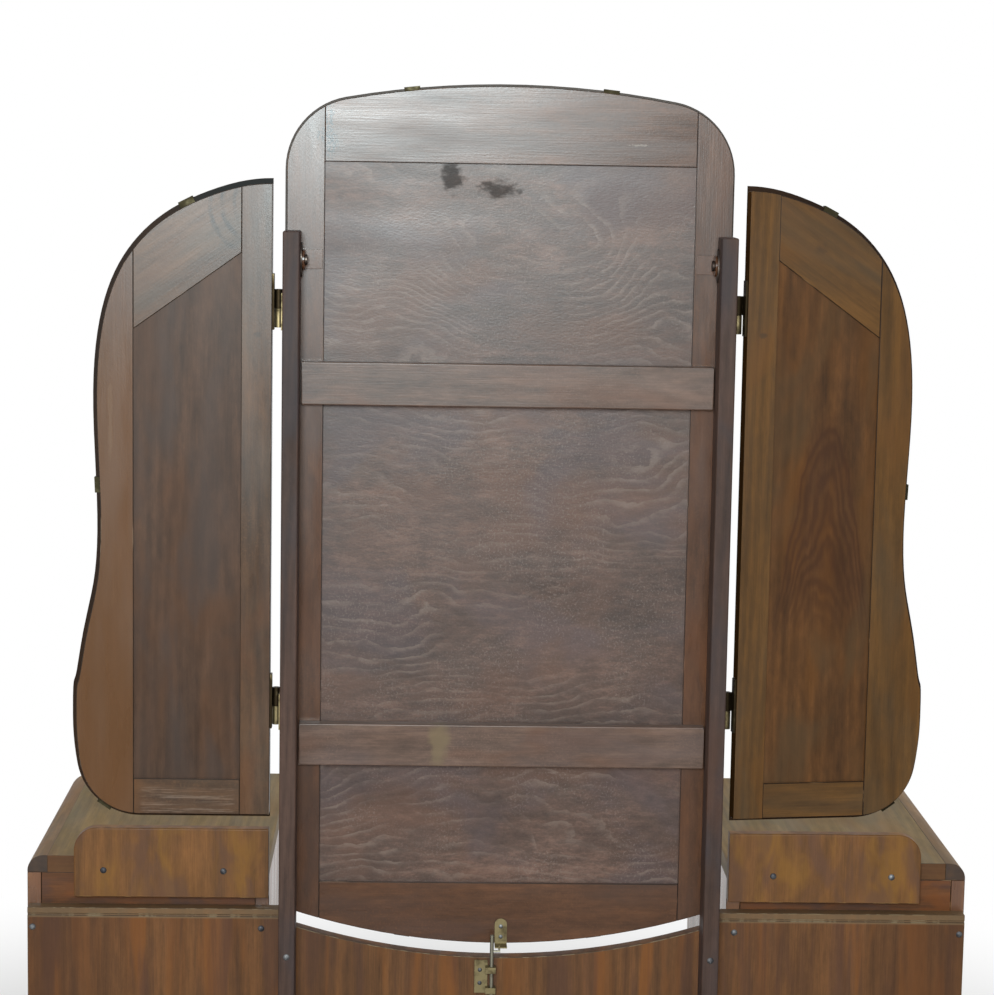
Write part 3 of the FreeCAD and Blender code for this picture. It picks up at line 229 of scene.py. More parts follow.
# %% [markdown]
# No board has a knife edge: the maker takes every arris off with a plane or paper, and use wears
# it further. Flat faces are first joined back from triangles, then a Bevel modifier rounds each
# sharp edge, and weighted normals keep the faces flat. The bevel's new faces take a second
# finish, because an arris holds dirt in the joints and is rubbed pale where hands pass. The
# alternative, modelling each rounding, would repeat the same work on every board.

# %% Dress one node as separate boards
SHARP = math.radians(28)
BOARD_ARRIS = 0.8 * MM
METAL_ARRIS = 0.25 * MM
ARRIS_STEPS = 2


def soften(piece, arris, edge_look):
    """A live bevel on the sharp edges, with normals weighted by face area."""
    bevel = piece.modifiers.new("arris", "BEVEL")
    bevel.width = arris
    bevel.segments = ARRIS_STEPS
    bevel.limit_method = "ANGLE"
    bevel.angle_limit = SHARP
    bevel.material = edge_look
    normals = piece.modifiers.new("normals", "WEIGHTED_NORMAL")
    normals.keep_sharp = True


def dress(node, word, alongs, arris=BOARD_ARRIS, turn=0.0, edge_look=1, tone=None, skip=()):
    """One softened, grained piece for each shell of a node, with its fibres along alongs."""
    shells = node_shells(node)
    pieces = []
    for number, (points, triangles) in enumerate(shells):
        if number in skip:
            continue
        name = f"{node}_{word}" + (f"_{number + 1}" if len(shells) > 1 else "")
        piece = new_piece(name, points, triangles, node, join_flat=True)
        set_grain(piece, alongs[number] if isinstance(alongs, list) else alongs, turn, tone)
        soften(piece, arris, edge_look)
        pieces.append(piece)
    return pieces


print("arris of a board:", BOARD_ARRIS, "of a fitting:", METAL_ARRIS)

# %% [markdown]
# The fibres run the way each board is cut: sides, stiles, legs and backs upright, rails and the
# mirror's plywood level, tops and runners from front to back. The gallery boards are veneered
# with an upright flame. The way could be guessed from each board's longest side, but a wide
# drawer box would come out wrong, so the boards are listed by the way their fibres run.

# %% Dress the boards
BOARDS = {
    ("board", ALONG_Z): [
        "pedestal_left_outer_side", "pedestal_left_inner_side", "pedestal_right_outer_side",
        "pedestal_right_inner_side", "back_panel_left", "back_panel_right", "well_back_panel",
        "mirror_post_left", "mirror_post_right", "gallery_boards", "wing_right_panel",
    ],
    ("board", ALONG_X): ["well_platform", "pedestal_bottoms", "mirror_panel"],
    ("board", ALONG_Y): ["pedestal_left_top", "pedestal_right_top"],
    ("strip", ALONG_Y): ["top_lipping_strips"],
    ("rail", ALONG_X): ["drawer_rails", "well_front_rail", "back_rails", "mirror_rails"],
    ("batten", ALONG_X): ["mirror_battens"],
    ("stile", ALONG_Z): ["mirror_stiles"],
    ("runner", ALONG_Y): ["drawer_runners"],
    ("leg", ALONG_Z): ["front_legs", "back_legs"],
}
SIDE_DRAWERS = [f"drawer_{hand}_{level}" for hand in ("left", "right") for level in ("upper", "lower")]
DRAWERS = SIDE_DRAWERS + ["drawer_centre"]

made = []
for (word, along), nodes in BOARDS.items():
    for node in nodes:
        made += dress(node, word, along)
for drawer in DRAWERS:
    made += dress(f"{drawer}_box", "case", ALONG_Y)
    made += dress(f"{drawer}_front", "face", ALONG_X)
print("boards of the table:", len(made))

# %% [markdown]
# Each wing's frame is four boards round a plywood panel. The top rail is a slanting board, so its
# fibres slope with its edge, and leaving them level would show at once. The node gives its boards
# from the highest to the lowest: top rail, two stiles and foot rail.

# %% Dress the wings
RAIL_SLOPE = math.radians(35)
SLOPING_RIGHT = (-math.cos(RAIL_SLOPE), 0, math.sin(RAIL_SLOPE))
SLOPING_LEFT = (math.cos(RAIL_SLOPE), 0, math.sin(RAIL_SLOPE))
made += dress("wing_left_panel", "board", ALONG_Z, turn=WING_TURN)
for node, sloping, turn in (
    ("wing_left_frame", SLOPING_LEFT, WING_TURN),
    ("wing_right_frame", SLOPING_RIGHT, 0.0),
):
    made += dress(node, "board", [sloping, ALONG_Z, ALONG_Z, ALONG_X], turn=turn)
print("boards with the wings:", len(made))

# %% [markdown]
# In the left wing the panel and the hinge stile meet so closely that their joint hardly shows, so
# their arrises are finer and have no dark line. The stile's hinge side is dark brown. A thin
# piece laid over it would do, but it is enough to give the faces that look towards the hinge the
# stile's second finish.

# %% The left wing's hinge stile
HINGE_STILE = "wing_left_frame_board_2"
CLOSE_JOINT = ("wing_left_panel_board", HINGE_STILE)
CLOSE_ARRIS = 0.2 * MM
for piece in made:
    if piece.name in CLOSE_JOINT:
        piece.modifiers["arris"].width = CLOSE_ARRIS
        piece.modifiers["arris"].material = 0

HINGE_WAY = (math.cos(WING_TURN), math.sin(WING_TURN), 0)
NEARLY_FACING = 0.9
stile = bpy.data.objects[HINGE_STILE].data
normals = np.empty(len(stile.polygons) * 3)
stile.polygons.foreach_get("normal", normals)
hinge_side = normals.reshape(-1, 3) @ HINGE_WAY > NEARLY_FACING
stile.polygons.foreach_set("material_index", hinge_side.astype(int))
print("faces on the hinge side:", int(hinge_side.sum()))

# %% [markdown]
# The fittings keep their measured shapes too, with finer arrises. Their tone isn't left to
# chance: a bright one for what is rubbed or newly turned, a dark one for what has only tarnished.
# On the hinges the tones are painted light and shade: the posts' leaves are bright for the
# highlight on the lower knuckle, the wings' leaves dark for their shade.

# %% Dress the fittings
BRIGHT = 1.0
DARK = -1.0
SCREWS_TOP_AND_FOOT = (0, 2)
FITTINGS = {
    # Painted light on the hinges: bright posts' leaves for the knuckle's highlight, dark wings' leaves for
    # shade.
    "post_hinge_leaves": BRIGHT,
    "wing_left_hinge_leaves": DARK,
    "wing_right_hinge_leaves": DARK,
    "pivot_plates": DARK,
    "pivot_brackets": DARK,
    "mirror_clips": DARK,
    "wing_left_clips": DARK,
    "wing_right_clips": DARK,
    "mirror_bolt_rod": BRIGHT,
}
for node, tone in FITTINGS.items():
    made += dress(node, "metal", ALONG_Z, METAL_ARRIS, edge_look=0, tone=tone)
FITTING_SCREWS = dict.fromkeys(("mirror_catch", "mirror_bolt_guide"), SCREWS_TOP_AND_FOOT)
for node, screws in FITTING_SCREWS.items():
    made += dress(node, "metal", ALONG_Z, METAL_ARRIS, edge_look=0, tone=BRIGHT, skip=screws)
print("boards and fittings:", len(made))

# %% [markdown]
# The screws have domed heads, each with a slot cut across it. A slot with straight walls is
# awkward on a round grid of rings and spokes. So the head is ruled in straight columns beside
# the slot instead, and the two columns at each wall of the slot stand at two heights.

# %% Make the slotted screw heads
SLOT_SHARE = 0.13
SLOT_DEPTH_SHARE = 0.45
HEAD_COLUMNS = 9
HEAD_ROWS = 15


def slotted_head(name, node, points, turn):
    """A domed head with a slot, on a face that looks towards +Y.

    Formula: a column at distance x from the slot's middle runs between plus and minus the root
    of radius squared minus x squared. The height is a cap of a ball, and in the slot the lesser
    of that and the slot's floor. A flat copy of the grid closes the head underneath."""
    low, high = points.min(axis=0), points.max(axis=0)
    centre = (low + high) / 2
    radius = (high[0] - low[0]) / 2
    rise = high[1] - low[1]
    ball = (radius ** 2 + rise ** 2) / (2 * rise)
    wall = SLOT_SHARE * radius
    side = wall + (radius - wall) * np.sin(np.linspace(0, math.pi / 2, HEAD_COLUMNS))
    x = np.concatenate([-side[::-1], [-wall, wall], side])
    in_slot = np.zeros(len(x), dtype=bool)
    in_slot[HEAD_COLUMNS:HEAD_COLUMNS + 2] = True
    reach = np.sqrt(np.maximum(radius ** 2 - x ** 2, 0))
    z = np.outer(reach, np.sin(np.linspace(-math.pi / 2, math.pi / 2, HEAD_ROWS)))
    x = np.repeat(x[:, None], HEAD_ROWS, axis=1)
    cap = np.sqrt(ball ** 2 - x ** 2 - z ** 2) - (ball - rise)
    floor = np.where(in_slot[:, None], rise * (1 - SLOT_DEPTH_SHARE), rise)
    height = np.maximum(np.minimum(cap, floor), 0)
    across = math.cos(turn) * x - math.sin(turn) * z
    up = math.sin(turn) * x + math.cos(turn) * z
    top = np.stack([centre[0] + across, low[1] + height, centre[2] + up], axis=-1).reshape(-1, 3)
    base = top * (1, 0, 1) + (0, low[1], 0)
    columns, rows = x.shape
    column, row = np.meshgrid(np.arange(columns - 1), np.arange(rows - 1), indexing="ij")
    corner = (column * rows + row).ravel()
    quads = np.stack([corner, corner + 1, corner + rows + 1, corner + rows], axis=-1)
    faces = np.concatenate([quads, quads[:, ::-1] + len(top)])
    piece = new_piece(name, np.concatenate([top, base]), faces.tolist(), node)
    piece.data.set_sharp_from_angle(angle=SHARP)
    set_grain(piece, ALONG_Z)
    return piece


SCREW_SEED = 5
slot_turns = np.random.default_rng(SCREW_SEED)
heads = []
for number, (points, _) in enumerate(node_shells("back_screws")):
    turn = slot_turns.uniform(0, math.pi)
    heads.append(slotted_head(f"back_screws_head_{number + 1}", "back_screws", points, turn))
for node, screws in FITTING_SCREWS.items():
    shells = node_shells(node)
    for number in screws:
        turn = slot_turns.uniform(0, math.pi)
        heads.append(slotted_head(f"{node}_screw_{number + 1}", node, shells[number][0], turn))
made += heads
print("screw heads:", len(heads), "faces each:", len(heads[0].data.polygons))

# %% [markdown]
# The knobs are turned brass. A turned piece is a profile carried round an axis. The Screw
# modifier could carry it, yet the grid is as short to write: we give the profile once, as arcs
# between a few radii, and spin it with one formula for all its points.

# %% Turn the knobs
KNOB_SPOKES = 64
ARC_STEPS = 7


def quarter(start, end, bulge_first):
    """A quarter of an ellipse between two profile points, leaving start level or upright."""
    turn = np.linspace(0, math.pi / 2, ARC_STEPS)
    grow, fade = np.sin(turn), 1 - np.cos(turn)
    radial, forward = (grow, fade) if bulge_first else (fade, grow)
    radius = start[0] + (end[0] - start[0]) * radial
    ahead = start[1] + (end[1] - start[1]) * forward
    return np.stack([radius, ahead], axis=-1)


def knob_profile():
    """The knob's outline as (radius, distance in front of the drawer), in millimetres: a back
    plate with a rounded rim and a bead, a waisted stem, and a domed head with a sunk ring."""
    return np.concatenate([
        [(0.0, 0.0), (15.0, 0.0), (15.0, 0.8)],
        quarter((15.0, 0.8), (13.2, 2.2), False),
        [(11.2, 2.2)],
        quarter((11.2, 2.2), (9.6, 3.6), True),
        quarter((9.6, 3.6), (8.0, 2.6), False),
        quarter((8.0, 2.6), (5.2, 8.5), True),
        quarter((5.2, 8.5), (7.4, 15.6), False),
        quarter((7.4, 15.6), (11.6, 17.4), True),
        quarter((11.6, 17.4), (13.0, 20.2), False),
        quarter((13.0, 20.2), (10.4, 25.0), False),
        [(9.9, 24.9), (9.5, 25.6)],
        quarter((9.5, 25.6), (0.0, 30.0), False),
    ]) * MM


def lathe(profile, centre):
    """A profile turned about an axis that looks towards -Y: the radius times cosine and sine."""
    angle = 2 * math.pi * np.arange(KNOB_SPOKES) / KNOB_SPOKES
    radius, ahead = profile.T
    x = np.outer(radius, np.cos(angle))
    z = np.outer(radius, np.sin(angle))
    y = np.repeat(-ahead[:, None], KNOB_SPOKES, axis=1)
    return np.stack([x, y, z], axis=-1).reshape(-1, 3) + centre


def ring_faces(rings, around):
    """Quads between neighbouring rings of points, as an array of four corner numbers."""
    row, column = np.meshgrid(np.arange(rings - 1), np.arange(around), indexing="ij")
    following = (column + 1) % around
    low = row * around
    high = low + around
    quads = np.stack([low + column, high + column, high + following, low + following], axis=-1)
    return quads.reshape(-1, 4)


profile = knob_profile()
knobs = []
for node in [f"{drawer}_knob" for drawer in SIDE_DRAWERS] + ["drawer_centre_knobs"]:
    shells = node_shells(node)
    for number, (points, _) in enumerate(shells):
        low, high = points.min(axis=0), points.max(axis=0)
        foot = np.array([(low[0] + high[0]) / 2, high[1], (low[2] + high[2]) / 2])
        name = f"{node}_turned" + (f"_{number + 1}" if len(shells) > 1 else "")
        faces = ring_faces(len(profile), KNOB_SPOKES).tolist()
        knob = new_piece(name, lathe(profile, foot), faces, node)
        knob.data.set_sharp_from_angle(angle=SHARP)
        set_grain(knob, ALONG_Y, tone=BRIGHT)
        knobs.append(knob)
made += knobs
print("knobs:", len(knobs), "faces each:", len(knobs[0].data.polygons))

# %% [markdown]
# Each drawer front is veneered and edged with a cock bead, a thin rounded strip that keeps the
# veneer from chipping. The strip is a half round carried along a rectangle. As the rectangle's
# sides are straight, one ring of four corners for each step of the half round is enough.

# %% Bead the drawer fronts
BEAD_WIDTH = 3.2 * MM
BEAD_RISE = 1.8 * MM
BEAD_STEPS = 9


def cock_bead(drawer):
    """A half-round strip on the edge of a drawer's front.

    Formula: at angle a from nought to a half turn, the ring of corners is the front's rectangle
    drawn in by half the width times one minus cosine a, and stands out by the rise times sine a."""
    node = f"{drawer}_front"
    low, high = (np.array(corner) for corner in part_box(node))
    turn = np.linspace(0, math.pi, BEAD_STEPS)
    inward = BEAD_WIDTH / 2 * (1 - np.cos(turn))
    ahead = BEAD_RISE * np.sin(turn)
    x = np.stack([low[0] + inward, high[0] - inward, high[0] - inward, low[0] + inward], axis=1)
    z = np.stack([low[2] + inward, low[2] + inward, high[2] - inward, high[2] - inward], axis=1)
    y = np.repeat(low[1] - ahead[:, None], 4, axis=1)
    rings = np.stack([x, y, z], axis=-1)
    closed = np.concatenate([rings, rings[:1]])
    piece = new_piece(f"{drawer}_bead", closed.reshape(-1, 3), ring_faces(len(closed), 4).tolist(), node)
    piece.data.set_sharp_from_angle(angle=SHARP)
    set_grain(piece, ALONG_X)
    return piece


beads = [cock_bead(drawer) for drawer in DRAWERS]
print("beads:", len(beads))

# %% [markdown]
# The glass is 6 mm plate with a polished bevel, silvered and painted on the back. It overhangs
# the frame, so from behind the painted rim shows as a dark line round the wood. We take each
# plate's outline from its front face, draw it in by the bevel's width, and lay rings between. A
# Bevel modifier would be less work, but it can't carry so wide a slope round the tight corners.

# %% Make the three glasses
BEVEL_WIDTH = 18 * MM
BEVEL_DEPTH = 2.2 * MM
GLASS_ARRIS = 0.4 * MM
LEAST_STEP = 0.05 * MM
PLATE_SHARP = math.radians(5)
FRONT, EDGE, BACK, BEVEL = range(4)


def plate_outline(node):
    """A plate's front outline as points in turn, with its front normal and its thickness."""
    points, triangles = node_shells(node)[0]
    mesh = bpy.data.meshes.new("outline")
    mesh.from_pydata(points.tolist(), [], triangles.tolist())
    tidy_mesh(mesh, True)
    fronts = [face for face in mesh.polygons if face.normal.y < 0]
    front = max(fronts, key=lambda face: face.area)
    normal = np.array(front.normal)
    outline = np.array([mesh.vertices[number].co for number in front.vertices])
    bpy.data.meshes.remove(mesh)
    apart = np.linalg.norm(outline - np.roll(outline, 1, axis=0), axis=1) > LEAST_STEP
    return outline[apart], normal, np.ptp(points @ normal)


def inset(outline, normal, width):
    """The outline moved inwards by width, mitred: each corner moves along the sum of its two
    edges' inward normals, divided by one plus their product. Where a tight corner then folds
    back on itself, its points go to where the sound edges beside it meet."""
    edge = np.roll(outline, -1, axis=0) - outline
    edge = edge / np.linalg.norm(edge, axis=1, keepdims=True)
    inward = np.cross(normal, edge)
    before = np.roll(inward, 1, axis=0)
    moved = outline + width * (inward + before) / (1 + (inward * before).sum(axis=1, keepdims=True))
    folded = ((np.roll(moved, -1, axis=0) - moved) * edge).sum(axis=1) < 0
    starts = np.flatnonzero(folded & ~np.roll(folded, 1))
    ends = np.flatnonzero(folded & ~np.roll(folded, -1))
    if len(ends) and ends[0] < starts[0]:
        ends = np.roll(ends, -1)
    around = len(outline)
    for start, end in zip(starts, ends):
        after = (end + 1) % around
        last = end if end >= start else end + around
        ways = np.stack([edge[start - 1], -edge[after]], axis=1)
        steps = np.linalg.lstsq(ways, moved[after] - moved[start], rcond=None)[0]
        moved[np.arange(start, last + 2) % around] = moved[start] + steps[0] * edge[start - 1]
    return moved


def bevelled_glass(node):
    """A plate with a bevelled front rim: rings from the front's flat to the painted back."""
    outline, normal, thick = plate_outline(node)
    steps = [
        (BEVEL_WIDTH, 0.0),
        (GLASS_ARRIS, BEVEL_DEPTH),
        (0.0, BEVEL_DEPTH + GLASS_ARRIS),
        (0.0, thick - GLASS_ARRIS),
        (GLASS_ARRIS, thick),
    ]
    rings = np.array([inset(outline, normal, width) - depth * normal for width, depth in steps])
    around = len(outline)
    faces = ring_faces(len(steps), around).tolist()
    last = (len(steps) - 1) * around
    caps = [list(range(around)), list(range(last + around - 1, last - 1, -1))]
    looks = [BEVEL] * around + [EDGE] * (len(steps) - 2) * around + [FRONT, BACK]
    piece = new_piece(f"{node}_plate", rings.reshape(-1, 3), faces + caps, node, looks)
    piece.data.set_sharp_from_angle(angle=PLATE_SHARP)
    return piece


glasses = [bevelled_glass(node) for node in ("mirror_glass", "wing_left_glass", "wing_right_glass")]
print("glasses:", [len(glass.data.polygons) for glass in glasses])

# %% [markdown]
# A real finish is a row of jobs: stain, polish, wear and dirt. Blender could wrap a painted
# picture round each board, but a picture stretches at corners and stops at its border. We mix
# every finish from shader nodes instead, which read a point's place in the wood. The colours are
# written as they look on a screen, so that they are easy to compare with the real table's.

# %% A colour as it looks


def paint(red, green, blue):
    """A colour as it looks on a screen, 0 to 255, as the linear colour that shaders use.

    Formula: the usual screen curve, straight near black and a power of 2.4 above that."""
    screen = np.array([red, green, blue]) / 255
    linear = np.where(screen < 0.04045, screen / 12.92, ((screen + 0.055) / 1.055) ** 2.4)
    return (*linear.tolist(), 1.0)


print("a middle grey, as shaders use it:", [round(part, 3) for part in paint(128, 128, 128)])

# %% [markdown]
# A shader is a web of nodes, and one clicked together by hand is hard to read. Here each step
# adds one node and hands back the socket that carries its result, so that a finish reads like a
# list of what was done to the wood. The plainest steps come first: where a point is, and sums.

# %% The first steps of a recipe
TONE_STRIDES = (31.0, 17.0, 23.0)


class Recipe:
    """Shader nodes being put together. Every method adds a node and returns the socket it fills."""

    def __init__(self, tree):
        self.tree = tree

    def put(self, socket, value):
        """Joins a socket to another, or writes a plain value into it."""
        if isinstance(value, bpy.types.NodeSocket):
            self.tree.links.new(value, socket)
        else:
            socket.default_value = value

    def add(self, kind, output, inputs, **settings):
        """One node of a kind, with its settings and its inputs by name or number."""
        node = self.tree.nodes.new("ShaderNode" + kind)
        for key, value in settings.items():
            setattr(node, key, value)
        for key, value in inputs.items():
            self.put(node.inputs[key], value)
        return node.outputs[output]

    def place(self):
        """Where a point is in the room, in metres."""
        return self.add("TexCoord", "Object", {})

    def grain(self):
        """Where a point is in its tree, in metres: along, across and through."""
        return self.add("Attribute", "Vector", {}, attribute_name="grain")

    def tone(self):
        """The board's own chance value, from -1 to 1."""
        return self.add("Attribute", "Fac", {}, attribute_name="tone")

    def vector(self, operation, *values):
        """A sum with vectors, of which only LENGTH gives a plain number."""
        output = "Value" if operation == "LENGTH" else 0
        return self.add("VectorMath", output, dict(enumerate(values)), operation=operation)

    def own(self):
        """The grain place moved far off by the board's tone, so no two boards share a figure."""
        tone = self.add("CombineXYZ", 0, {0: self.tone(), 1: self.tone(), 2: self.tone()})
        return self.vector("MULTIPLY_ADD", tone, TONE_STRIDES, self.grain())

    def split(self, vector):
        """The three parts of a vector."""
        return list(self.add("SeparateXYZ", 0, {0: vector}).node.outputs)

    def math(self, operation, first, second=0.0):
        """A sum with two numbers."""
        return self.add("Math", 0, {0: first, 1: second}, operation=operation)

    def chain(self, operation, values):
        """Several values taken together two by two, from left to right."""
        result = values[0]
        for value in values[1:]:
            result = self.math(operation, result, value)
        return result

    def total(self, *values):
        """The sum of several values."""
        return self.chain("ADD", values)

    def times(self, *values):
        """The product of several values."""
        return self.chain("MULTIPLY", values)


print("first steps:", len([step for step in vars(Recipe) if not step.startswith("_")]))

# %% [markdown]
# Wood and dirt are never even, and noise is what makes them so. A noise node wanders between
# about 0.3 and 0.7, so most steps stretch that range to the swing that they want, or cut it off
# with a soft step, which turns a wandering value into clouds, streaks or specks. A spot does the
# same with the distance from one place, for a mark that only one board has.

# %% Noise, bands and spots
NOISE_LOW = 0.3
NOISE_HIGH = 0.7
SPOT_CORE = 0.35


class Pattern(Recipe):
    """A recipe that also knows noise, soft steps, colours and spots."""

    def noise(self, vector, per_metre, detail=2.0, roughness=0.55, distortion=0.0):
        """Soft noise with its own number of waves per metre each way."""
        scaled = self.vector("MULTIPLY", vector, per_metre)
        inputs = {"Vector": scaled, "Scale": 1.0, "Detail": detail, "Roughness": roughness}
        return self.add("TexNoise", 0, {**inputs, "Distortion": distortion})

    def band(self, value, low, high, to_low=0.0, to_high=1.0, way="SMOOTHSTEP"):
        """A smooth step from to_low to to_high as value goes from low to high."""
        inputs = {"Value": value, "From Min": low, "From Max": high, "To Min": to_low, "To Max": to_high}
        return self.add("MapRange", 0, inputs, interpolation_type=way)

    def line(self, *span):
        """The same step as a straight ramp."""
        return self.band(*span, way="LINEAR")

    def between(self, noise, low, high):
        """A noise stretched to run from low to high."""
        return self.line(noise, NOISE_LOW, NOISE_HIGH, low, high)

    def sway(self, noise, amount):
        """A noise as a swing of this amount to either side of nought."""
        return self.between(noise, -amount, amount)

    def blend(self, amount, first, second):
        """Two colours mixed by an amount."""
        return self.add("Mix", 2, {0: amount, 6: first, 7: second}, data_type="RGBA")

    def lay(self, colour, tint, mask, share):
        """A tint laid over a colour where a mask is one, as thickly as its share says."""
        return self.blend(self.times(mask, share), colour, tint)

    def ramp(self, value, colours):
        """A colour from a row of colours, evenly spaced from 0 to 1."""
        socket = self.add("ValToRGB", 0, {0: value})
        elements = socket.node.color_ramp.elements
        while len(elements) < len(colours):
            elements.new(0.5)
        for number, colour in enumerate(colours):
            elements[number].position = number / (len(colours) - 1)
            elements[number].color = colour
        return socket

    def spot(self, centre, size, ragged=0.0, per_metre=(60, 60, 60)):
        """One inside a ball about a place in the room, nought outside, with a soft ragged edge.

        Formula: the distance from the centre, each way in shares of size, plus some noise."""
        place = self.place()
        away = self.vector("DIVIDE", self.vector("SUBTRACT", place, centre), size)
        distance = self.vector("LENGTH", away)
        if ragged:
            distance = self.total(distance, self.sway(self.noise(place, per_metre, 3), ragged))
        return self.band(distance, 1.0, SPOT_CORE)


print("pattern steps:", len([step for step in vars(Pattern) if not step.startswith("_")]))

# %% [markdown]
# The steps end in one shader that covers wood, metal and glass alike. A height given to it tips
# the light as if the surface rose and fell, which is right for fibres finer than a hair; every
# shape that can be seen is in the meshes. A plain number goes on the shader's own socket, so
# that other programs can read it there.

# %% A finish


class Finish(Pattern):
    """A material being mixed."""

    def __init__(self, name):
        self.material = bpy.data.materials.new(name)
        self.material.use_nodes = True
        super().__init__(self.material.node_tree)
        self.shader = self.tree.nodes["Principled BSDF"]

    def finish(self, colour, roughness, height=None, relief=0.1 * MM, **sockets):
        """Fills the shader and returns the material. Sockets are set on the shader by name."""
        self.put(self.shader.inputs["Base Color"], colour)
        self.put(self.shader.inputs["Roughness"], roughness)
        if height is not None:
            bump = self.add("Bump", 0, {"Height": height, "Distance": relief, "Strength": 1.0})
            self.put(self.shader.inputs["Normal"], bump)
        for name, value in sockets.items():
            self.put(self.shader.inputs[name.replace("_", " ")], value)
        return self.material


FINISHES = {}
ARRISES = {}
print("finishes so far:", len(FINISHES))

# %% [markdown]
# Old stained wood is cloudy rather than striped. Its year rings are faint bands, its fibres fine
# streaks, and over both lie soft clouds of stain. A ready wave texture would give clean stripes.
# So a board's light and dark is a sum of small swings, each from its own noise, and the fibres
# and a fine grit also give the height, which spreads a lamp's gloss across the grain.

# %% The figure of a sawn board
BEND_WAVES = (1.3, 9, 9)
STREAK_WAVES = (2.4, 62, 62)
CLOUD_WAVES = (5, 15, 15)
MOTTLE_WAVES = (34, 105, 105)
FIBRE_WAVES = (20, 620, 620)
GRIT_WAVES = (300, 420, 420)
GRIT_SHARE = 0.45
TONE_SHARE = 0.05
MIDDLE = 0.5


def sawn_figure(finish, ring=9 * MM, wander=20 * MM, taper=0.04, rings=0.10, streaks=0.20,
                clouds=0.18, fibres=0.12, mottle=0.14):
    """The light and dark of a board cut from a trunk, with its fibre height.

    Formula: a ring is a sine of the distance from the pith, which noise bends and the trunk's
    taper tilts. Streaks and fibres are noise drawn out along the grain, clouds are wide, and
    the mottle of old polish is small and rough. The height is part fibre, part round grit."""
    own = finish.own()
    along, across, through = finish.split(finish.grain())
    depth = finish.total(through, finish.times(along, taper))
    squares = finish.total(finish.times(across, across), finish.times(depth, depth))
    bend = finish.noise(own, BEND_WAVES)
    bent = finish.total(finish.math("POWER", squares, 0.5), finish.times(bend, wander))
    ring_wave = finish.math("SINE", finish.times(bent, 2 * math.pi / ring))
    fibre = finish.noise(own, FIBRE_WAVES, detail=3)
    value = finish.total(
        finish.line(ring_wave, -1, 1, MIDDLE - rings, MIDDLE + rings),
        finish.sway(finish.noise(own, STREAK_WAVES, detail=4), streaks),
        finish.sway(finish.noise(own, CLOUD_WAVES, detail=3), clouds),
        finish.sway(finish.noise(own, MOTTLE_WAVES, detail=5, roughness=0.7), mottle),
        finish.sway(fibre, fibres),
        finish.times(finish.tone(), TONE_SHARE),
    )
    grit = finish.noise(own, GRIT_WAVES, detail=3, roughness=0.7)
    return value, finish.total(finish.times(fibre, 1 - GRIT_SHARE), finish.times(grit, GRIT_SHARE))


print("fibres to the metre:", max(FIBRE_WAVES))

# %% [markdown]
# Over the figure go the jobs of years: stain that took warmer in one place and cooler in
# another, dark pores, and dust with bloomed wax. Each is a layer that takes the colour so far
# and hands back the next, so that a finish may leave one out. Warm and cool clouds come from the
# same noise, read at two places so far apart that they have nothing to do with each other.

# %% Layers over the figure
FAR_OFF = (3.7, 9.1, 5.3)
TINT_SPREAD = (5, 14, 14)
TINT_EDGE = (0.46, 0.66)
PORE_WAVES = (80, 1300, 1300)
PORE_EDGE = (0.60, 0.72)
DUST_CLOUD_WAVES = (11, 11, 11)
DUST_CLOUD_EDGE = (0.40, 0.62)
DUST_SPECK_WAVES = (330, 330, 330)
DUST_SPECK_EDGE = (0.50, 0.70)
DUST_THIN = 0.15


def tinted(finish, colour, warm, cool, warmth, coolness, spread=TINT_SPREAD):
    """Clouds of a warm and of a cool stain over a colour."""
    own = finish.own()
    far = finish.vector("ADD", own, FAR_OFF)
    warm_cloud = finish.noise(own, spread, detail=3, distortion=0.6)
    cool_cloud = finish.noise(far, spread, detail=3, distortion=0.6)
    colour = finish.blend(finish.band(warm_cloud, *TINT_EDGE, 0, warmth), colour, warm)
    return finish.blend(finish.band(cool_cloud, *TINT_EDGE, 0, coolness), colour, cool)


def pored(finish, colour, dark, share):
    """Short dark pores along the grain."""
    pores = finish.band(finish.noise(finish.own(), PORE_WAVES, detail=1), *PORE_EDGE)
    return finish.lay(colour, dark, pores, share)


def dusted(finish, colour, dust, share):
    """Pale specks of dust and bloomed wax, thick in some clouds and thin in others."""
    place = finish.place()
    clouds = finish.noise(place, DUST_CLOUD_WAVES, detail=4)
    specks = finish.band(finish.noise(place, DUST_SPECK_WAVES, detail=3, roughness=0.7), *DUST_SPECK_EDGE)
    thick = finish.band(clouds, *DUST_CLOUD_EDGE, DUST_THIN * share, share)
    return finish.lay(colour, dust, specks, thick)


print("layers: tinted, pored, dusted")

# %% [markdown]
# Now a whole board's finish is one call: its three colours, its two stains and how much of each
# layer it has. Dressing every board by hand would repeat this thirty times. An arris has its own
# short recipe, a dark line that is rubbed pale where a patch of noise is high.

# %% A board's finish and its arris
GLOSS_WAVES = (6, 30, 30)
DULLER = 0.07
SHINIER = 0.05
RUB_WAVES = (14, 60, 60)
RUB_EDGE = (0.68, 0.76)
RUB_SHIFT = (0.36, 0.30)


def shades(red, green, blue, deep=0.70, pale=1.28):
    """A row of three colours about a middle one, for a ramp."""
    middle = np.array([red, green, blue])
    return [paint(*(middle * share)) for share in (deep, 1.0, pale)]


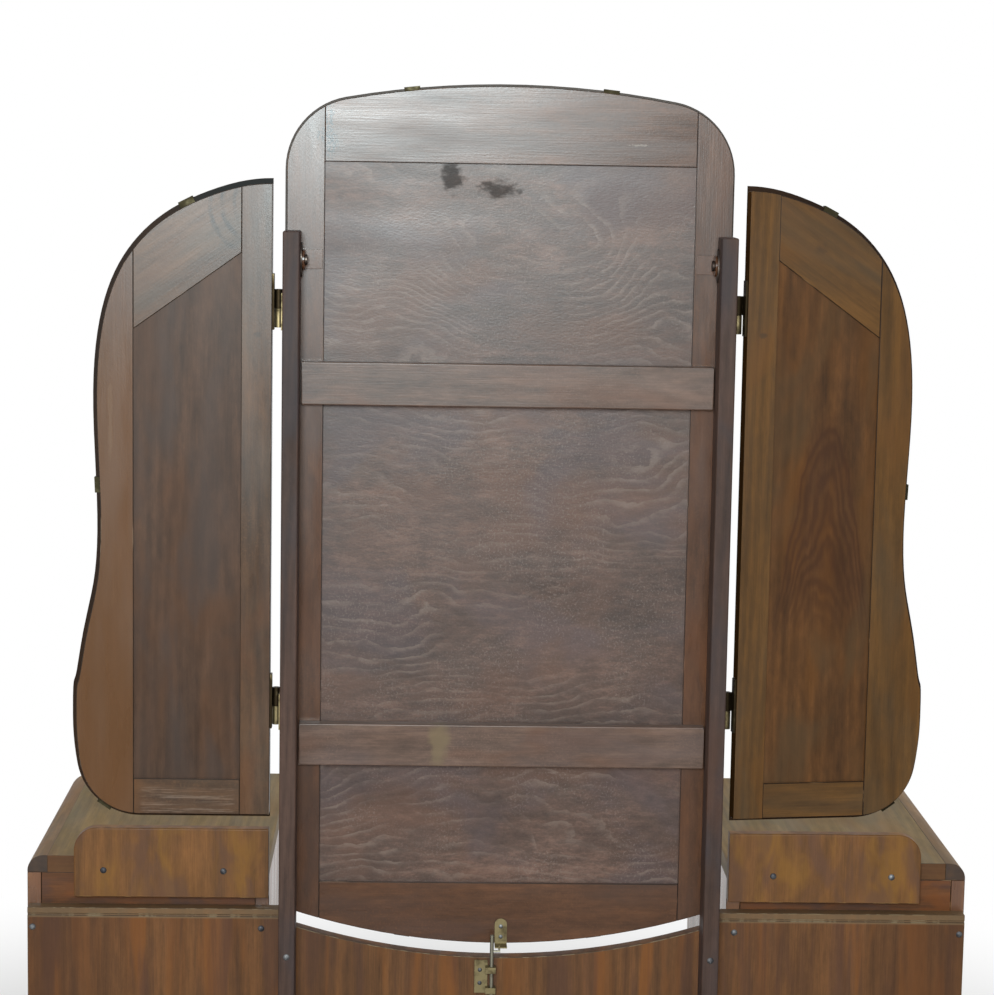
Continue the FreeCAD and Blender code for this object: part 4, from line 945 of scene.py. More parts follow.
def stained_wood(name, colours, warm, cool, warmth=0.5, coolness=0.4, pores=0.15, roughness=0.42,
                 specular=0.3, relief=0.12 * MM, spread=TINT_SPREAD, dust=0.0, marks=None, **figure):
    """A board's whole finish; marks may add the marks that only some boards carry."""
    finish = Finish(name)
    value, fibre = sawn_figure(finish, **figure)
    colour = finish.ramp(value, colours)
    colour = tinted(finish, colour, warm, cool, warmth, coolness, spread)
    colour = pored(finish, colour, colours[0], pores)
    if dust:
        colour = dusted(finish, colour, colours[2], dust)
    if marks:
        colour = marks(finish, colour)
    patch = finish.noise(finish.own(), GLOSS_WAVES, detail=3)
    gloss = finish.between(patch, roughness - SHINIER, roughness + DULLER)
    return finish.finish(colour, gloss, fibre, relief, Specular_IOR_Level=specular)


def worn_arris(name, line, worn, share, roughness=0.45, specular=0.08):
    """The finish of an arris: a dark line that is rubbed pale in places."""
    finish = Finish(name)
    patch = finish.noise(finish.own(), RUB_WAVES, detail=4)
    low, high = (edge - shift * share for edge, shift in zip(RUB_EDGE, RUB_SHIFT))
    rubbed = finish.band(patch, low, high)
    return finish.finish(finish.blend(rubbed, line, worn), roughness, Specular_IOR_Level=specular)


print("a board's gloss wanders by", round(DULLER + SHINIER, 2))

# %% [markdown]
# The mirror's back is a frame of stained walnut, smoother than the rest. Where the crown rail
# meets the stile it has dark flecks, and beside the middle one short scratch. Such marks could
# be modelled or painted on a picture; a spot of noise at their measured place does it in a line.

# %% The centre mirror's frame
FLECKS = (227 * MM, 230 * MM, 1594 * MM)
FLECKS_SIZE = (14 * MM, 40 * MM, 44 * MM)
FLECK_BLACK = paint(10, 9, 8)
SCRATCH = (-158 * MM, 230 * MM, 1582 * MM)
SCRATCH_SIZE = (15 * MM, 40 * MM, 1.6 * MM)
SCRATCH_PALE = paint(176, 164, 150)
FINE_WAVES = (300, 300, 300)


def frame_marks(finish, colour):
    """Dark flecks where the crown rail meets the stile, and one short pale scratch."""
    near = finish.spot(FLECKS, FLECKS_SIZE, 0.5)
    specks = finish.band(finish.noise(finish.place(), FINE_WAVES, detail=2), 0.46, 0.54)
    colour = finish.lay(colour, FLECK_BLACK, near, specks)
    scratch = finish.spot(SCRATCH, SCRATCH_SIZE, 0.6, FINE_WAVES)
    return finish.lay(colour, SCRATCH_PALE, scratch, 0.4)


FINISHES["mirror_frame"] = stained_wood(
    "mirror_frame", shades(89, 60, 40), warm=paint(106, 66, 38), cool=paint(78, 60, 52),
    warmth=0.4, coolness=0.45, roughness=0.29, specular=0.2, dust=0.45, streaks=0.10,
    fibres=0.08, mottle=0.22, rings=0.05, clouds=0.2, marks=frame_marks)
ARRISES["mirror_frame"] = worn_arris("mirror_frame_arris", paint(56, 42, 34), paint(116, 92, 74), 0.3)
print("mirror frame:", len(FINISHES["mirror_frame"].node_tree.nodes), "nodes")

# %% [markdown]
# The battens across the mirror's back are a shade greyer, with a rubbed upper arris, and the dark
# line of their arrises is deepened to paint the shadow under their lower edges. Something stood
# against the lower batten and left an olive patch. The posts are darker and nearly matt.

# %% The battens and the posts
BATTEN_PATCH = (81 * MM, 248 * MM, 822 * MM)
BATTEN_PATCH_SIZE = (17 * MM, 40 * MM, 45 * MM)
PATCH_OLIVE = paint(122, 106, 78)
SMUDGE_WAVES = (40, 40, 40)


def batten_marks(finish, colour):
    """An olive patch on the lower batten, where something stood against it."""
    patch = finish.spot(BATTEN_PATCH, BATTEN_PATCH_SIZE, 0.25, SMUDGE_WAVES)
    return finish.lay(colour, PATCH_OLIVE, patch, 0.75)


FINISHES["mirror_batten"] = stained_wood(
    "mirror_batten", shades(100, 80, 68), warm=paint(108, 74, 54), cool=paint(92, 80, 78),
    roughness=0.34, specular=0.2, dust=0.5, streaks=0.16, fibres=0.10, mottle=0.24, rings=0.05,
    clouds=0.22, marks=batten_marks)
# The batten arris's dark line is painted shade: it is deepened for the shadow under the battens' lower
# edges.
ARRISES["mirror_batten"] = worn_arris("mirror_batten_arris", paint(42, 32, 26), paint(166, 152, 140), 0.42)
FINISHES["post_wood"] = stained_wood(
    "post_wood", shades(75, 58, 50, deep=0.72), warm=paint(88, 62, 50), cool=paint(60, 58, 62),
    warmth=0.5, coolness=0.55, roughness=0.55, specular=0.08, dust=0.2)
ARRISES["post_wood"] = worn_arris("post_wood_arris", paint(54, 42, 34), paint(150, 136, 122), 0.18)
print("mirror finishes:", len(FINISHES))

# %% [markdown]
# Plywood's face is peeled from the log like paper from a roll, so its figure isn't bands but
# wandering pale lines, the year rings cut almost flat. Such lines are the level lines of a
# gentle hill: the height up the panel gives nearly level lines, wide noise makes them wander,
# and a round rise near the middle of the upper part closes some of them into ovals.

# %% The veins of peeled plywood
VEIN_APART = 15 * MM
SWIRL = (-30 * MM, 224 * MM, 1410 * MM)
SWIRL_SIZE = (190 * MM, 400 * MM, 130 * MM)
SWIRL_VEINS = 5.5
HILL_WAVES = [
    ((1.9, 1.9, 3.1), 2, 0.45, 17.0),
    ((6, 6, 8), 2, 0.55, 7.0),
    ((22, 22, 30), 4, 0.55, 1.6),
]
VEIN_RISE = (0.30, 0.90)
VEIN_FALL = (1.0, 0.92)


def hill(finish, place):
    """The height whose whole numbers are the veins.

    Formula: height over the veins' distance, plus three noises from wide to small, plus a
    round rise for the swirl."""
    _, _, up = finish.split(place)
    wide, middling, small = (
        finish.times(finish.noise(place, waves, detail, roughness), veins)
        for waves, detail, roughness, veins in HILL_WAVES)
    swirl = finish.times(finish.spot(SWIRL, SWIRL_SIZE), SWIRL_VEINS)
    return finish.total(finish.math("DIVIDE", up, VEIN_APART), wide, swirl, middling, small)


def veined(finish, height, strength):
    """Thin pale lines where a height passes a whole number, softer on one side."""
    saw = finish.math("FRACT", height)
    rise = finish.band(saw, *VEIN_RISE)
    return finish.times(rise, rise, finish.band(saw, *VEIN_FALL), strength)


print("veins to the metre:", round(1.0 / VEIN_APART))

# %% [markdown]
# The mirror's panel also has two dark stains under the crown rail, a reddish cloud beside them
# and dust all over. The stains have lost their polish, so there the shader's gloss falls too.

# %% The centre mirror's plywood
PLY_MIDDLE = 0.46
VEIN_PALE = paint(142, 126, 114)
PLY_DUST = paint(146, 134, 124)
REDDISH = (-150 * MM, 224 * MM, 1500 * MM)
REDDISH_SIZE = (95 * MM, 400 * MM, 42 * MM)
REDDISH_BROWN = paint(74, 46, 38)
STAINS = [
    ((74 * MM, 224 * MM, 1536 * MM), (19 * MM, 40 * MM, 24 * MM)),
    ((16 * MM, 224 * MM, 1525 * MM), (33 * MM, 40 * MM, 15 * MM)),
]
STAIN_BLACK = paint(36, 31, 28)
STAIN_WAVES = (60, 60, 100)
STAIN_SHINE = (0.2, 0.06)
PLY_FIBRE_WAVES = (200, 420, 420)
PLY_FIBRE_SWING = 0.12
PLY_SWINGS = [
    ((9, 60, 60), 4, 0.55, 0.12),
    ((6, 10, 10), 3, 0.55, 0.22),
    ((40, 110, 110), 5, 0.7, 0.26),
]
PLY_SPREAD = (6, 9, 9)
REDDISH_WAVES = (12, 12, 12)
BREAK_WAVES = (40, 80, 80)
PATCH_WAVES = (6, 8, 8)
PLY_GLOSS_WAVES = (5, 18, 18)


def ply_figure(finish, own):
    """The fibre height, and the light and dark between the veins.

    Formula: a middle value, plus a swing from each of three noises: streaks, wide clouds and
    small mottle, each given as waves, detail, roughness and swing, plus the fibres."""
    fibre = finish.noise(own, PLY_FIBRE_WAVES, detail=3, roughness=0.7)
    swings = [finish.sway(finish.noise(own, waves, detail, roughness), swing)
              for waves, detail, roughness, swing in PLY_SWINGS]
    return fibre, finish.total(PLY_MIDDLE, *swings, finish.sway(fibre, PLY_FIBRE_SWING))


def mirror_ply():
    """The centre mirror's panel, with two dark stains near its top."""
    finish = Finish("mirror_ply")
    own = finish.own()
    fibre, value = ply_figure(finish, own)
    colour = finish.ramp(value, shades(90, 70, 60, pale=1.40))
    colour = tinted(finish, colour, paint(108, 76, 58), paint(84, 72, 74), 0.45, 0.5, PLY_SPREAD)
    reddish = finish.spot(REDDISH, REDDISH_SIZE, 0.5, REDDISH_WAVES)
    colour = finish.lay(colour, REDDISH_BROWN, reddish, 0.6)
    broken = finish.band(finish.noise(own, BREAK_WAVES, detail=3), 0.40, 0.60, 0.3, 1.0)
    patch = finish.band(finish.noise(own, PATCH_WAVES, detail=3), 0.40, 0.62, 0.04, 0.40)
    vein = veined(finish, hill(finish, finish.place()), finish.times(broken, patch))
    colour = finish.blend(vein, colour, VEIN_PALE)
    colour = dusted(finish, colour, PLY_DUST, 0.4)
    first, second = (finish.spot(centre, size, 0.4, STAIN_WAVES) for centre, size in STAINS)
    stained = finish.math("MAXIMUM", first, second)
    colour = finish.lay(colour, STAIN_BLACK, stained, 0.75)
    gloss = finish.between(finish.noise(own, PLY_GLOSS_WAVES, detail=3), 0.33, 0.46)
    shine = finish.line(stained, 0, 1, *STAIN_SHINE)
    return finish.finish(colour, gloss, fibre, 0.14 * MM, Specular_IOR_Level=shine)


FINISHES["mirror_ply"] = mirror_ply()
ARRISES["mirror_ply"] = worn_arris("mirror_ply_arris", paint(52, 40, 34), paint(90, 74, 64), 0.2)
print("mirror plywood:", len(FINISHES["mirror_ply"].node_tree.nodes), "nodes")

# %% [markdown]
# The wings' panels are veneered upright, and the left one shows a flame: where a board is cut
# across the tree's taper, each year ring makes an arch, one inside the next. An arch is what
# the height looks like when it loses the square of the distance from an upright axis, so a sine
# of that depth draws them all at once.

# %% The wings' panels
FLAME_AXIS = -405 * MM
FLAME_TOP = 1245 * MM
FLAME_FOOT = 930 * MM
FLAME_FADE = 120 * MM
FLAME_TIP = 40 * MM
FLAME_CURVE = 55.0
FLAME_APART = 34 * MM
FLAME_BEND = 48 * MM
FLAME_DARK = paint(64, 38, 22)
FLAME_WAVES = (16, 16, 5)
WING_SPREAD = (4, 12, 12)
HALF_GAP = 100 * MM


def flame(finish, colour):
    """A flame in the left wing's panel: arches one inside the other about an upright axis.

    Formula: depth under the arch is its top, less the height, less the curve times the squared
    distance from the axis, bent by noise. The arches are a sine of the depth."""
    place = finish.place()
    across, _, up = finish.split(place)
    off = finish.math("SUBTRACT", across, FLAME_AXIS)
    fall = finish.times(off, off, FLAME_CURVE)
    bend = finish.sway(finish.noise(place, FLAME_WAVES, detail=4), FLAME_BEND)
    depth = finish.total(finish.math("SUBTRACT", FLAME_TOP, finish.total(up, fall)), bend)
    arches = finish.line(finish.math("SINE", finish.times(depth, 2 * math.pi / FLAME_APART)), -1, 1)
    above_foot = finish.band(up, FLAME_FOOT, FLAME_FOOT + FLAME_FADE)
    inside = finish.times(finish.band(depth, 0.0, FLAME_TIP), above_foot)
    amount = finish.times(inside, finish.line(arches, 0, 1, 0.3, 0.7))
    return finish.lay(colour, FLAME_DARK, amount, finish.band(across, 0.0, -HALF_GAP))


def wing_ply():
    """The wings' panels: upright figure, browner on the right wing, with the left wing's flame."""
    finish = Finish("wing_ply")
    value, fibre = sawn_figure(finish, ring=15 * MM, wander=34 * MM, taper=0.09, rings=0.10,
                               streaks=0.15, clouds=0.2, fibres=0.08, mottle=0.2)
    side, _, _ = finish.split(finish.place())
    right = finish.band(side, -HALF_GAP, HALF_GAP)
    olive, brown = (finish.ramp(value, shades(*middle)) for middle in ((90, 60, 32), (78, 57, 42)))
    colour = finish.blend(right, olive, brown)
    warm = finish.blend(right, paint(104, 66, 27), paint(88, 58, 34))
    cool = finish.blend(right, paint(82, 64, 42), paint(70, 60, 55))
    colour = tinted(finish, colour, warm, cool, 0.55, 0.6, WING_SPREAD)
    colour = flame(finish, colour)
    gloss = finish.between(finish.noise(finish.own(), GLOSS_WAVES, detail=3), 0.34, 0.46)
    return finish.finish(colour, gloss, fibre, 0.08 * MM, Specular_IOR_Level=0.1)


FINISHES["wing_ply"] = wing_ply()
ARRISES["wing_ply"] = worn_arris("wing_ply_arris", paint(44, 30, 20), paint(80, 62, 46), 0.2)
print("wing plywood:", len(FINISHES["wing_ply"].node_tree.nodes), "nodes")

# %% [markdown]
# The wings' frames aren't a matched pair. The right wing's top rail was cut close to a knot, so
# dark lines bend round it, its outer stile is orange brown and its foot rail is scuffed. The
# knot lines are a sine of the distance from the knot's place, kept to the rail by soft steps.

# %% The right wing's frame
KNOT = (314 * MM, 256 * MM, 1507 * MM)
KNOT_NEAR = (28 * MM, 34 * MM)
KNOT_FAR = (74 * MM, 64 * MM)
KNOT_RING = 15 * MM
KNOT_BEND = 5 * MM
KNOT_STILE = (336 * MM, 342 * MM)
KNOT_RAIL = (1430 * MM, 1460 * MM)
KNOT_LINE = paint(34, 27, 22)
KNOT_BEND_WAVES = (14, 14, 14)
KNOT_RAGGED_WAVES = (60, 60, 60)
SMALL_KNOT = (313 * MM, 256 * MM, 1339 * MM)
SMALL_KNOT_SIZE = (7 * MM, 20 * MM, 5 * MM)
KNOT_WAVES = (150, 150, 150)
FOOT_RAIL = ((338 * MM, 344 * MM), (462 * MM, 456 * MM), (764 * MM, 758 * MM))
SCUFF_PALE = paint(150, 130, 112)
SCUFF_WAVES = (14, 14, 330)
PALE_STREAK = (497 * MM, 256 * MM, 1230 * MM)
PALE_STREAK_SIZE = (4 * MM, 40 * MM, 58 * MM)
ORANGE_SIDE = (448 * MM, 478 * MM)
ORANGE_HEIGHT = (1420 * MM, 1260 * MM)


def knot_lines(finish, place, across, up):
    """Where the dark lines are that bend round the knot on the top rail."""
    distance = finish.vector("LENGTH", finish.vector("SUBTRACT", place, KNOT))
    bent = finish.total(distance, finish.sway(finish.noise(place, KNOT_BEND_WAVES, detail=1), KNOT_BEND))
    rings = finish.band(finish.math("SINE", finish.times(bent, 2 * math.pi / KNOT_RING)), -0.3, 1.0)
    near = finish.times(finish.band(bent, *KNOT_NEAR), finish.band(bent, *KNOT_FAR))
    upper = finish.times(near, finish.band(across, *KNOT_STILE), finish.band(up, *KNOT_RAIL))
    ragged = finish.noise(place, KNOT_RAGGED_WAVES, detail=4, roughness=0.7)
    return finish.times(rings, upper), finish.band(ragged, 0.40, 0.60, 0.25, 0.8)


def right_wing_marks(finish, colour):
    """A scuffed foot rail, a pale streak, a warmer outer stile, knot lines and a small knot."""
    place = finish.place()
    across, _, up = finish.split(place)
    inner, outer, top = FOOT_RAIL
    foot = finish.times(finish.band(across, *inner), finish.band(across, *outer), finish.band(up, *top))
    scuffs = finish.band(finish.noise(place, SCUFF_WAVES, detail=4, roughness=0.7), 0.48, 0.66)
    colour = finish.lay(colour, SCUFF_PALE, scuffs, finish.times(foot, 0.45))
    streak = finish.spot(PALE_STREAK, PALE_STREAK_SIZE, 0.4)
    colour = finish.lay(colour, paint(160, 140, 112), streak, 0.5)
    warm = finish.times(finish.band(across, *ORANGE_SIDE), finish.band(up, *ORANGE_HEIGHT))
    colour = finish.lay(colour, paint(104, 68, 32), warm, 0.8)
    colour = finish.lay(colour, KNOT_LINE, *knot_lines(finish, place, across, up))
    knot = finish.spot(SMALL_KNOT, SMALL_KNOT_SIZE, 0.4, KNOT_WAVES)
    return finish.lay(colour, paint(58, 46, 36), knot, 0.7)


FINISHES["wing_right_wood"] = stained_wood(
    "wing_right_wood", shades(84, 61, 41), warm=paint(98, 62, 34), cool=paint(80, 72, 60),
    roughness=0.30, specular=0.2, dust=0.45, clouds=0.3, streaks=0.15, fibres=0.09, mottle=0.22,
    marks=right_wing_marks)
ARRISES["wing_right_wood"] = worn_arris("wing_right_arris", paint(58, 44, 32), paint(128, 108, 88), 0.25)
print("right wing:", len(FINISHES["wing_right_wood"].node_tree.nodes), "nodes")

# %% [markdown]
# The left wing is olive, with a dark smudge on its top rail. Its hinge side is dark brown
# and quite matt. That side is seen at a slant, where any gloss would throw the white room back
# and turn the dark brown grey, so its gloss is nought.

# %% The left wing's frame
SMUDGE = (-388 * MM, 243 * MM, 1458 * MM)
SMUDGE_SIZE = (16 * MM, 40 * MM, 18 * MM)
LEFT_KNOT = (-321 * MM, 252 * MM, 1348 * MM)


def left_wing_marks(finish, colour):
    """A dark smudge on the top rail and a small knot on the hinge stile."""
    smudge = finish.spot(SMUDGE, SMUDGE_SIZE, 0.5, SMUDGE_WAVES)
    colour = finish.lay(colour, paint(56, 44, 32), smudge, 0.5)
    knot = finish.spot(LEFT_KNOT, SMALL_KNOT_SIZE, 0.4, KNOT_WAVES)
    return finish.lay(colour, paint(58, 44, 30), knot, 0.6)


FINISHES["wing_left_wood"] = stained_wood(
    "wing_left_wood", shades(90, 62, 27), warm=paint(108, 70, 26), cool=paint(80, 66, 46),
    roughness=0.4, specular=0.15, relief=0.1 * MM, marks=left_wing_marks)
ARRISES["wing_left_wood"] = worn_arris("wing_left_arris", paint(38, 24, 14), paint(120, 96, 68), 0.2)
# The hinge side's finish is a plain matt dark brown.
HINGE_SIDE = worn_arris(
    "hinge_side_dirt", paint(72, 50, 27), paint(96, 72, 44), 0.1, roughness=0.6, specular=0.0)
print("wing finishes done:", len(FINISHES))

# %% [markdown]
# The table's back was never meant to be seen. Its panels are plain boards with orange and dark
# upright streaks, darker towards the outside. Above the bead under the top edge a pale band is
# painted as the light that the top edge catches, and their arrises are pale, partly rubbed and
# partly painted light where the gallery shades the top edge. The rails are the same wood. The
# streaks are the stain clouds again, drawn far out along the grain.

# %% The back panels and rails
PANEL_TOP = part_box("back_panel_left")[1][2]
PANEL_BEAD = PANEL_TOP - 13 * MM
OUTER_FROM = 450 * MM
OUTER_TO = 570 * MM


def back_marks(finish, colour):
    """A pale band painted as light above the bead under the top edge, and the darker outer parts."""
    across, _, up = finish.split(finish.place())
    outer = finish.band(finish.math("ABSOLUTE", across), OUTER_FROM, OUTER_TO, 0, 0.45)
    colour = finish.blend(outer, colour, paint(66, 40, 24))
    # Painted light: from the bead up to the top edge the colour turns pale, for the light the top edge
    # catches.
    dust = finish.band(up, PANEL_BEAD - 1 * MM, PANEL_BEAD + 1 * MM, 0, 0.6)
    return finish.blend(dust, colour, paint(122, 102, 74))


FINISHES["back_board"] = stained_wood(
    "back_board", shades(102, 68, 37), warm=paint(132, 80, 30), cool=paint(80, 54, 42),
    warmth=0.6, coolness=0.6, spread=(2.2, 26, 26), ring=14 * MM, streaks=0.28, rings=0.08,
    clouds=0.12, roughness=0.5, specular=0.12, marks=back_marks)
# Partly painted light: the back boards' arrises are pale as rubbed wear and also to light the top edge that
# the gallery shades.
ARRISES["back_board"] = worn_arris("back_board_arris", paint(92, 74, 54), paint(130, 116, 90), 0.6)
FINISHES["carcass_back"] = stained_wood(
    "carcass_back", shades(98, 62, 34), warm=paint(124, 72, 30), cool=paint(72, 54, 50),
    warmth=0.6, coolness=0.6, spread=(12, 26, 26), streaks=0.24, roughness=0.5, specular=0.12)
ARRISES["carcass_back"] = worn_arris("carcass_back_arris", paint(60, 42, 28), paint(128, 104, 76), 0.4)
print("back panels' top edge at", round(PANEL_TOP, 3))

# %% [markdown]
# The gallery boards have a golden figure. The lipping strips' ends, where dirt has settled, are
# slate grey and brown, and the tops are dull and olive from sun and dust, with a raw edge at the
# back. Ends and edges aren't pieces of their own, so a soft step at the back edge finds them.

# %% The gallery boards and the tops
STRIP_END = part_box("top_lipping_strips")[1][1]
END_FROM = STRIP_END - 2.5 * MM
EDGE_FROM = STRIP_END - 1.6 * MM
END_TO = STRIP_END - 0.6 * MM
END_DIRT = [paint(40, 38, 42), paint(66, 54, 48), paint(96, 68, 48)]
RAW_EDGE = [paint(70, 44, 28), paint(94, 62, 38), paint(112, 76, 46)]


def edge_marks(waves, colours, start):
    """Marks for a back edge: other colours, in patches of noise, from start to the very end."""
    def marks(finish, colour):
        place = finish.place()
        _, back, _ = finish.split(place)
        patches = finish.ramp(finish.noise(place, waves, detail=4), colours)
        return finish.blend(finish.band(back, start, END_TO, 0, 0.9), colour, patches)
    return marks


FINISHES["gallery"] = stained_wood(
    "gallery", shades(112, 76, 40, 0.74, 1.26), warm=paint(136, 96, 38), cool=paint(96, 68, 52),
    warmth=0.65, coolness=0.65, spread=(9, 26, 26), ring=18 * MM, wander=40 * MM, taper=0.12,
    clouds=0.16, roughness=0.48, specular=0.12)
ARRISES["gallery"] = worn_arris("gallery_arris", paint(96, 68, 38), paint(142, 112, 70), 0.5)
FINISHES["walnut_lipping"] = stained_wood(
    "walnut_lipping", shades(116, 90, 58), warm=paint(124, 84, 46), cool=paint(92, 78, 58),
    roughness=0.5, specular=0.12, marks=edge_marks((60, 60, 60), END_DIRT, END_FROM))
ARRISES["walnut_lipping"] = worn_arris("walnut_lipping_arris", paint(72, 54, 36), paint(132, 110, 76), 0.3)
FINISHES["walnut_top"] = stained_wood(
    "walnut_top", shades(120, 98, 58, 0.76, 1.2), warm=paint(120, 88, 46), cool=paint(92, 86, 60),
    roughness=0.5, specular=0.1, marks=edge_marks((8, 60, 120), RAW_EDGE, EDGE_FROM))
ARRISES["walnut_top"] = worn_arris("walnut_top_arris", paint(58, 46, 30), paint(116, 100, 70), 0.3)
print("back finishes done:", len(FINISHES))

# %% [markdown]
# The front is what the table was bought for. Each drawer has a book match, one leaf of veneer
# laid beside its own mirror image. To mirror a figure it is enough to read the distance from the
# drawer's middle and forget the side. For that each front's points carry their place on the
# face and the face's half size, since Object coordinates know nothing of a drawer's middle.

# %% Places on a drawer's face


def set_face(piece, node):
    """Writes each point's place on a drawer's front and the front's half size, as attributes."""
    low, high = (np.array(corner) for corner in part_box(node))
    points = np.empty(len(piece.data.vertices) * 3)
    piece.data.vertices.foreach_get("co", points)
    points = points.reshape(-1, 3) - (low + high) / 2
    half = np.tile((high - low) / 2, (len(points), 1))
    for name, values in (("face_place", points), ("face_half", half)):
        attribute = piece.data.attributes.new(name, "FLOAT_VECTOR", "POINT")
        attribute.data.foreach_set("vector", values.ravel())


faces = [piece for piece in made if piece.name.endswith("_front_face")]
for piece in faces:
    set_face(piece, piece["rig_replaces"][0])
print("drawer faces:", len(faces))

# %% [markdown]
# Round the book match runs a cross band, a strip of veneer laid with its grain across the edge,
# and a fine dark joint parts the two. The band is simply where the nearer edge is less than the
# band's width away. Rings, band and joint could be pieces of veneer, but they are thinner than
# paper, so colour says it all. A thin coat of polish goes over everything.

# %% The drawers' veneer
CROSSBAND = 14 * MM
JOINT_OUTER = (CROSSBAND - 0.5 * MM, CROSSBAND)
JOINT_INNER = (CROSSBAND + 0.9 * MM, CROSSBAND + 0.4 * MM)
VENEER = [paint(62, 34, 18), paint(112, 68, 36), paint(150, 100, 56)]
BAND_VENEER = [paint(52, 28, 15), paint(92, 54, 28), paint(120, 76, 42)]
JOINT_LINE = paint(34, 18, 10)
ARCH_STEEP = 9.0
ARCH_POWER = 1.4
ARCH_RINGS = 3.5
RINGS_UP = 26.0
RINGS_BENT = 7.0
RING_TURN = 2.6
LANE_BEND_WAVES = (9, 3, 14)
LANE_STREAK_WAVES = (60, 5, 9)
LANE_FIBRE_WAVES = (900, 3, 30)


def book_match(finish, out, z):
    """Book-matched veneer, with its fibre height, from the distance out and the height z.

    Formula: rings are a sine of the height plus a steep curve of the distance, bent by noise."""
    lane = finish.add("CombineXYZ", 0, {0: out, 1: finish.tone(), 2: z})
    arch = finish.math("POWER", finish.times(out, ARCH_STEEP), ARCH_POWER)
    height = finish.total(
        finish.times(z, RINGS_UP),
        finish.times(arch, ARCH_RINGS),
        finish.times(finish.noise(lane, LANE_BEND_WAVES, detail=3), RINGS_BENT),
    )
    rings = finish.math("SINE", finish.times(height, RING_TURN))
    fibre = finish.noise(lane, LANE_FIBRE_WAVES, detail=3)
    value = finish.total(
        finish.line(rings, -1, 1, 0.32, 0.68),
        finish.sway(finish.noise(lane, LANE_STREAK_WAVES, detail=4), 0.22),
        finish.sway(fibre, 0.14),
    )
    return finish.ramp(value, VENEER), fibre


def drawer_veneer():
    """A book match inside a cross band, with a fine dark joint between them."""
    finish = Finish("drawer_veneer")
    place = finish.add("Attribute", "Vector", {}, attribute_name="face_place")
    half = finish.add("Attribute", "Vector", {}, attribute_name="face_half")
    x, _, z = finish.split(place)
    half_x, _, half_z = finish.split(half)
    out = finish.math("ABSOLUTE", x)
    colour, fibre = book_match(finish, out, z)
    edge = finish.math("MINIMUM", finish.math("SUBTRACT", half_x, out),
                       finish.math("SUBTRACT", half_z, finish.math("ABSOLUTE", z)))
    straight = finish.sway(finish.noise(place, (30, 30, 700), detail=3), 0.4)
    cross = finish.ramp(finish.total(straight, MIDDLE), BAND_VENEER)
    colour = finish.blend(finish.band(edge, CROSSBAND + 0.3 * MM, CROSSBAND), colour, cross)
    joint = finish.times(finish.band(edge, *JOINT_OUTER), finish.band(edge, *JOINT_INNER))
    colour = finish.lay(colour, JOINT_LINE, joint, 0.7)
    gloss = finish.between(finish.noise(place, (20, 20, 20), detail=3), 0.2, 0.3)
    return finish.finish(colour, gloss, fibre, 0.02 * MM, Specular_IOR_Level=0.5,
                         Coat_Weight=0.3, Coat_Roughness=0.15)


FINISHES["drawer_veneer"] = drawer_veneer()
ARRISES["drawer_veneer"] = worn_arris(
    "drawer_veneer_arris", paint(58, 34, 20), paint(120, 80, 48), 0.4, roughness=0.3)
print("drawer veneer:", len(FINISHES["drawer_veneer"].node_tree.nodes), "nodes")

# %% [markdown]
# The rest of the front is solid walnut with French polish, glossier than the back: the beads,
# the sides and rails, and the legs, a little darker. Inside, the drawers and their runners are
# clean pale wood without polish. All of them are the same recipe with other colours.

# %% Polished walnut and pale linings
BEAD_WOOD = stained_wood(
    "bead_wood", [paint(60, 34, 20), paint(88, 54, 32), paint(116, 76, 46)],
    warm=paint(104, 62, 32), cool=paint(70, 46, 34), roughness=0.28, specular=0.5, relief=0.03 * MM)
FINISHES["walnut"] = stained_wood(
    "walnut", [paint(76, 46, 26), paint(112, 72, 42), paint(142, 98, 60)],
    warm=paint(132, 84, 44), cool=paint(92, 66, 50), roughness=0.28, specular=0.5,
    relief=0.04 * MM, rings=0.16, streaks=0.22)
ARRISES["walnut"] = worn_arris("walnut_arris", paint(64, 40, 24), paint(132, 94, 58), 0.4, 0.3)
FINISHES["walnut_leg"] = stained_wood(
    "walnut_leg", [paint(66, 40, 24), paint(96, 60, 36), paint(122, 82, 50)],
    warm=paint(116, 72, 40), cool=paint(78, 56, 44), roughness=0.3, specular=0.5, relief=0.05 * MM)
ARRISES["walnut_leg"] = worn_arris("walnut_leg_arris", paint(60, 38, 24), paint(126, 90, 58), 0.4, 0.3)
FINISHES["pine"] = stained_wood(
    "pine", [paint(158, 118, 74), paint(198, 160, 112), paint(216, 184, 140)],
    warm=paint(206, 156, 96), cool=paint(176, 150, 118), warmth=0.4, coolness=0.3, pores=0.05,
    roughness=0.6, specular=0.25, rings=0.2)
ARRISES["pine"] = worn_arris("pine_arris", paint(150, 116, 76), paint(206, 176, 134), 0.5, 0.6)
FINISHES["drawer_lining"] = stained_wood(
    "drawer_lining", [paint(146, 108, 68), paint(186, 146, 100), paint(206, 172, 126)],
    warm=paint(194, 146, 90), cool=paint(160, 134, 104), warmth=0.4, coolness=0.3, pores=0.1,
    roughness=0.55, specular=0.3)
ARRISES["drawer_lining"] = worn_arris(
    "drawer_lining_arris", paint(140, 106, 68), paint(200, 168, 126), 0.5, roughness=0.55)
print("wood finishes:", len(FINISHES), "arris finishes:", len(ARRISES))

# %% [markdown]
# Brass tarnishes brown where nothing rubs it, and steel screws turn blue black. One plain colour
# would look like paint. So each metal mixes a bright and a dull colour by soft patches, the
# piece's tone pushes it one way, and it is rougher where it is dull.

# %% The metals
METAL_WAVES = (70, 70, 70)
SCRATCH_WAVES = (260, 260, 2200)
TONE_PUSH = 0.12
TARNISH_EDGE = (0.36, 0.66)


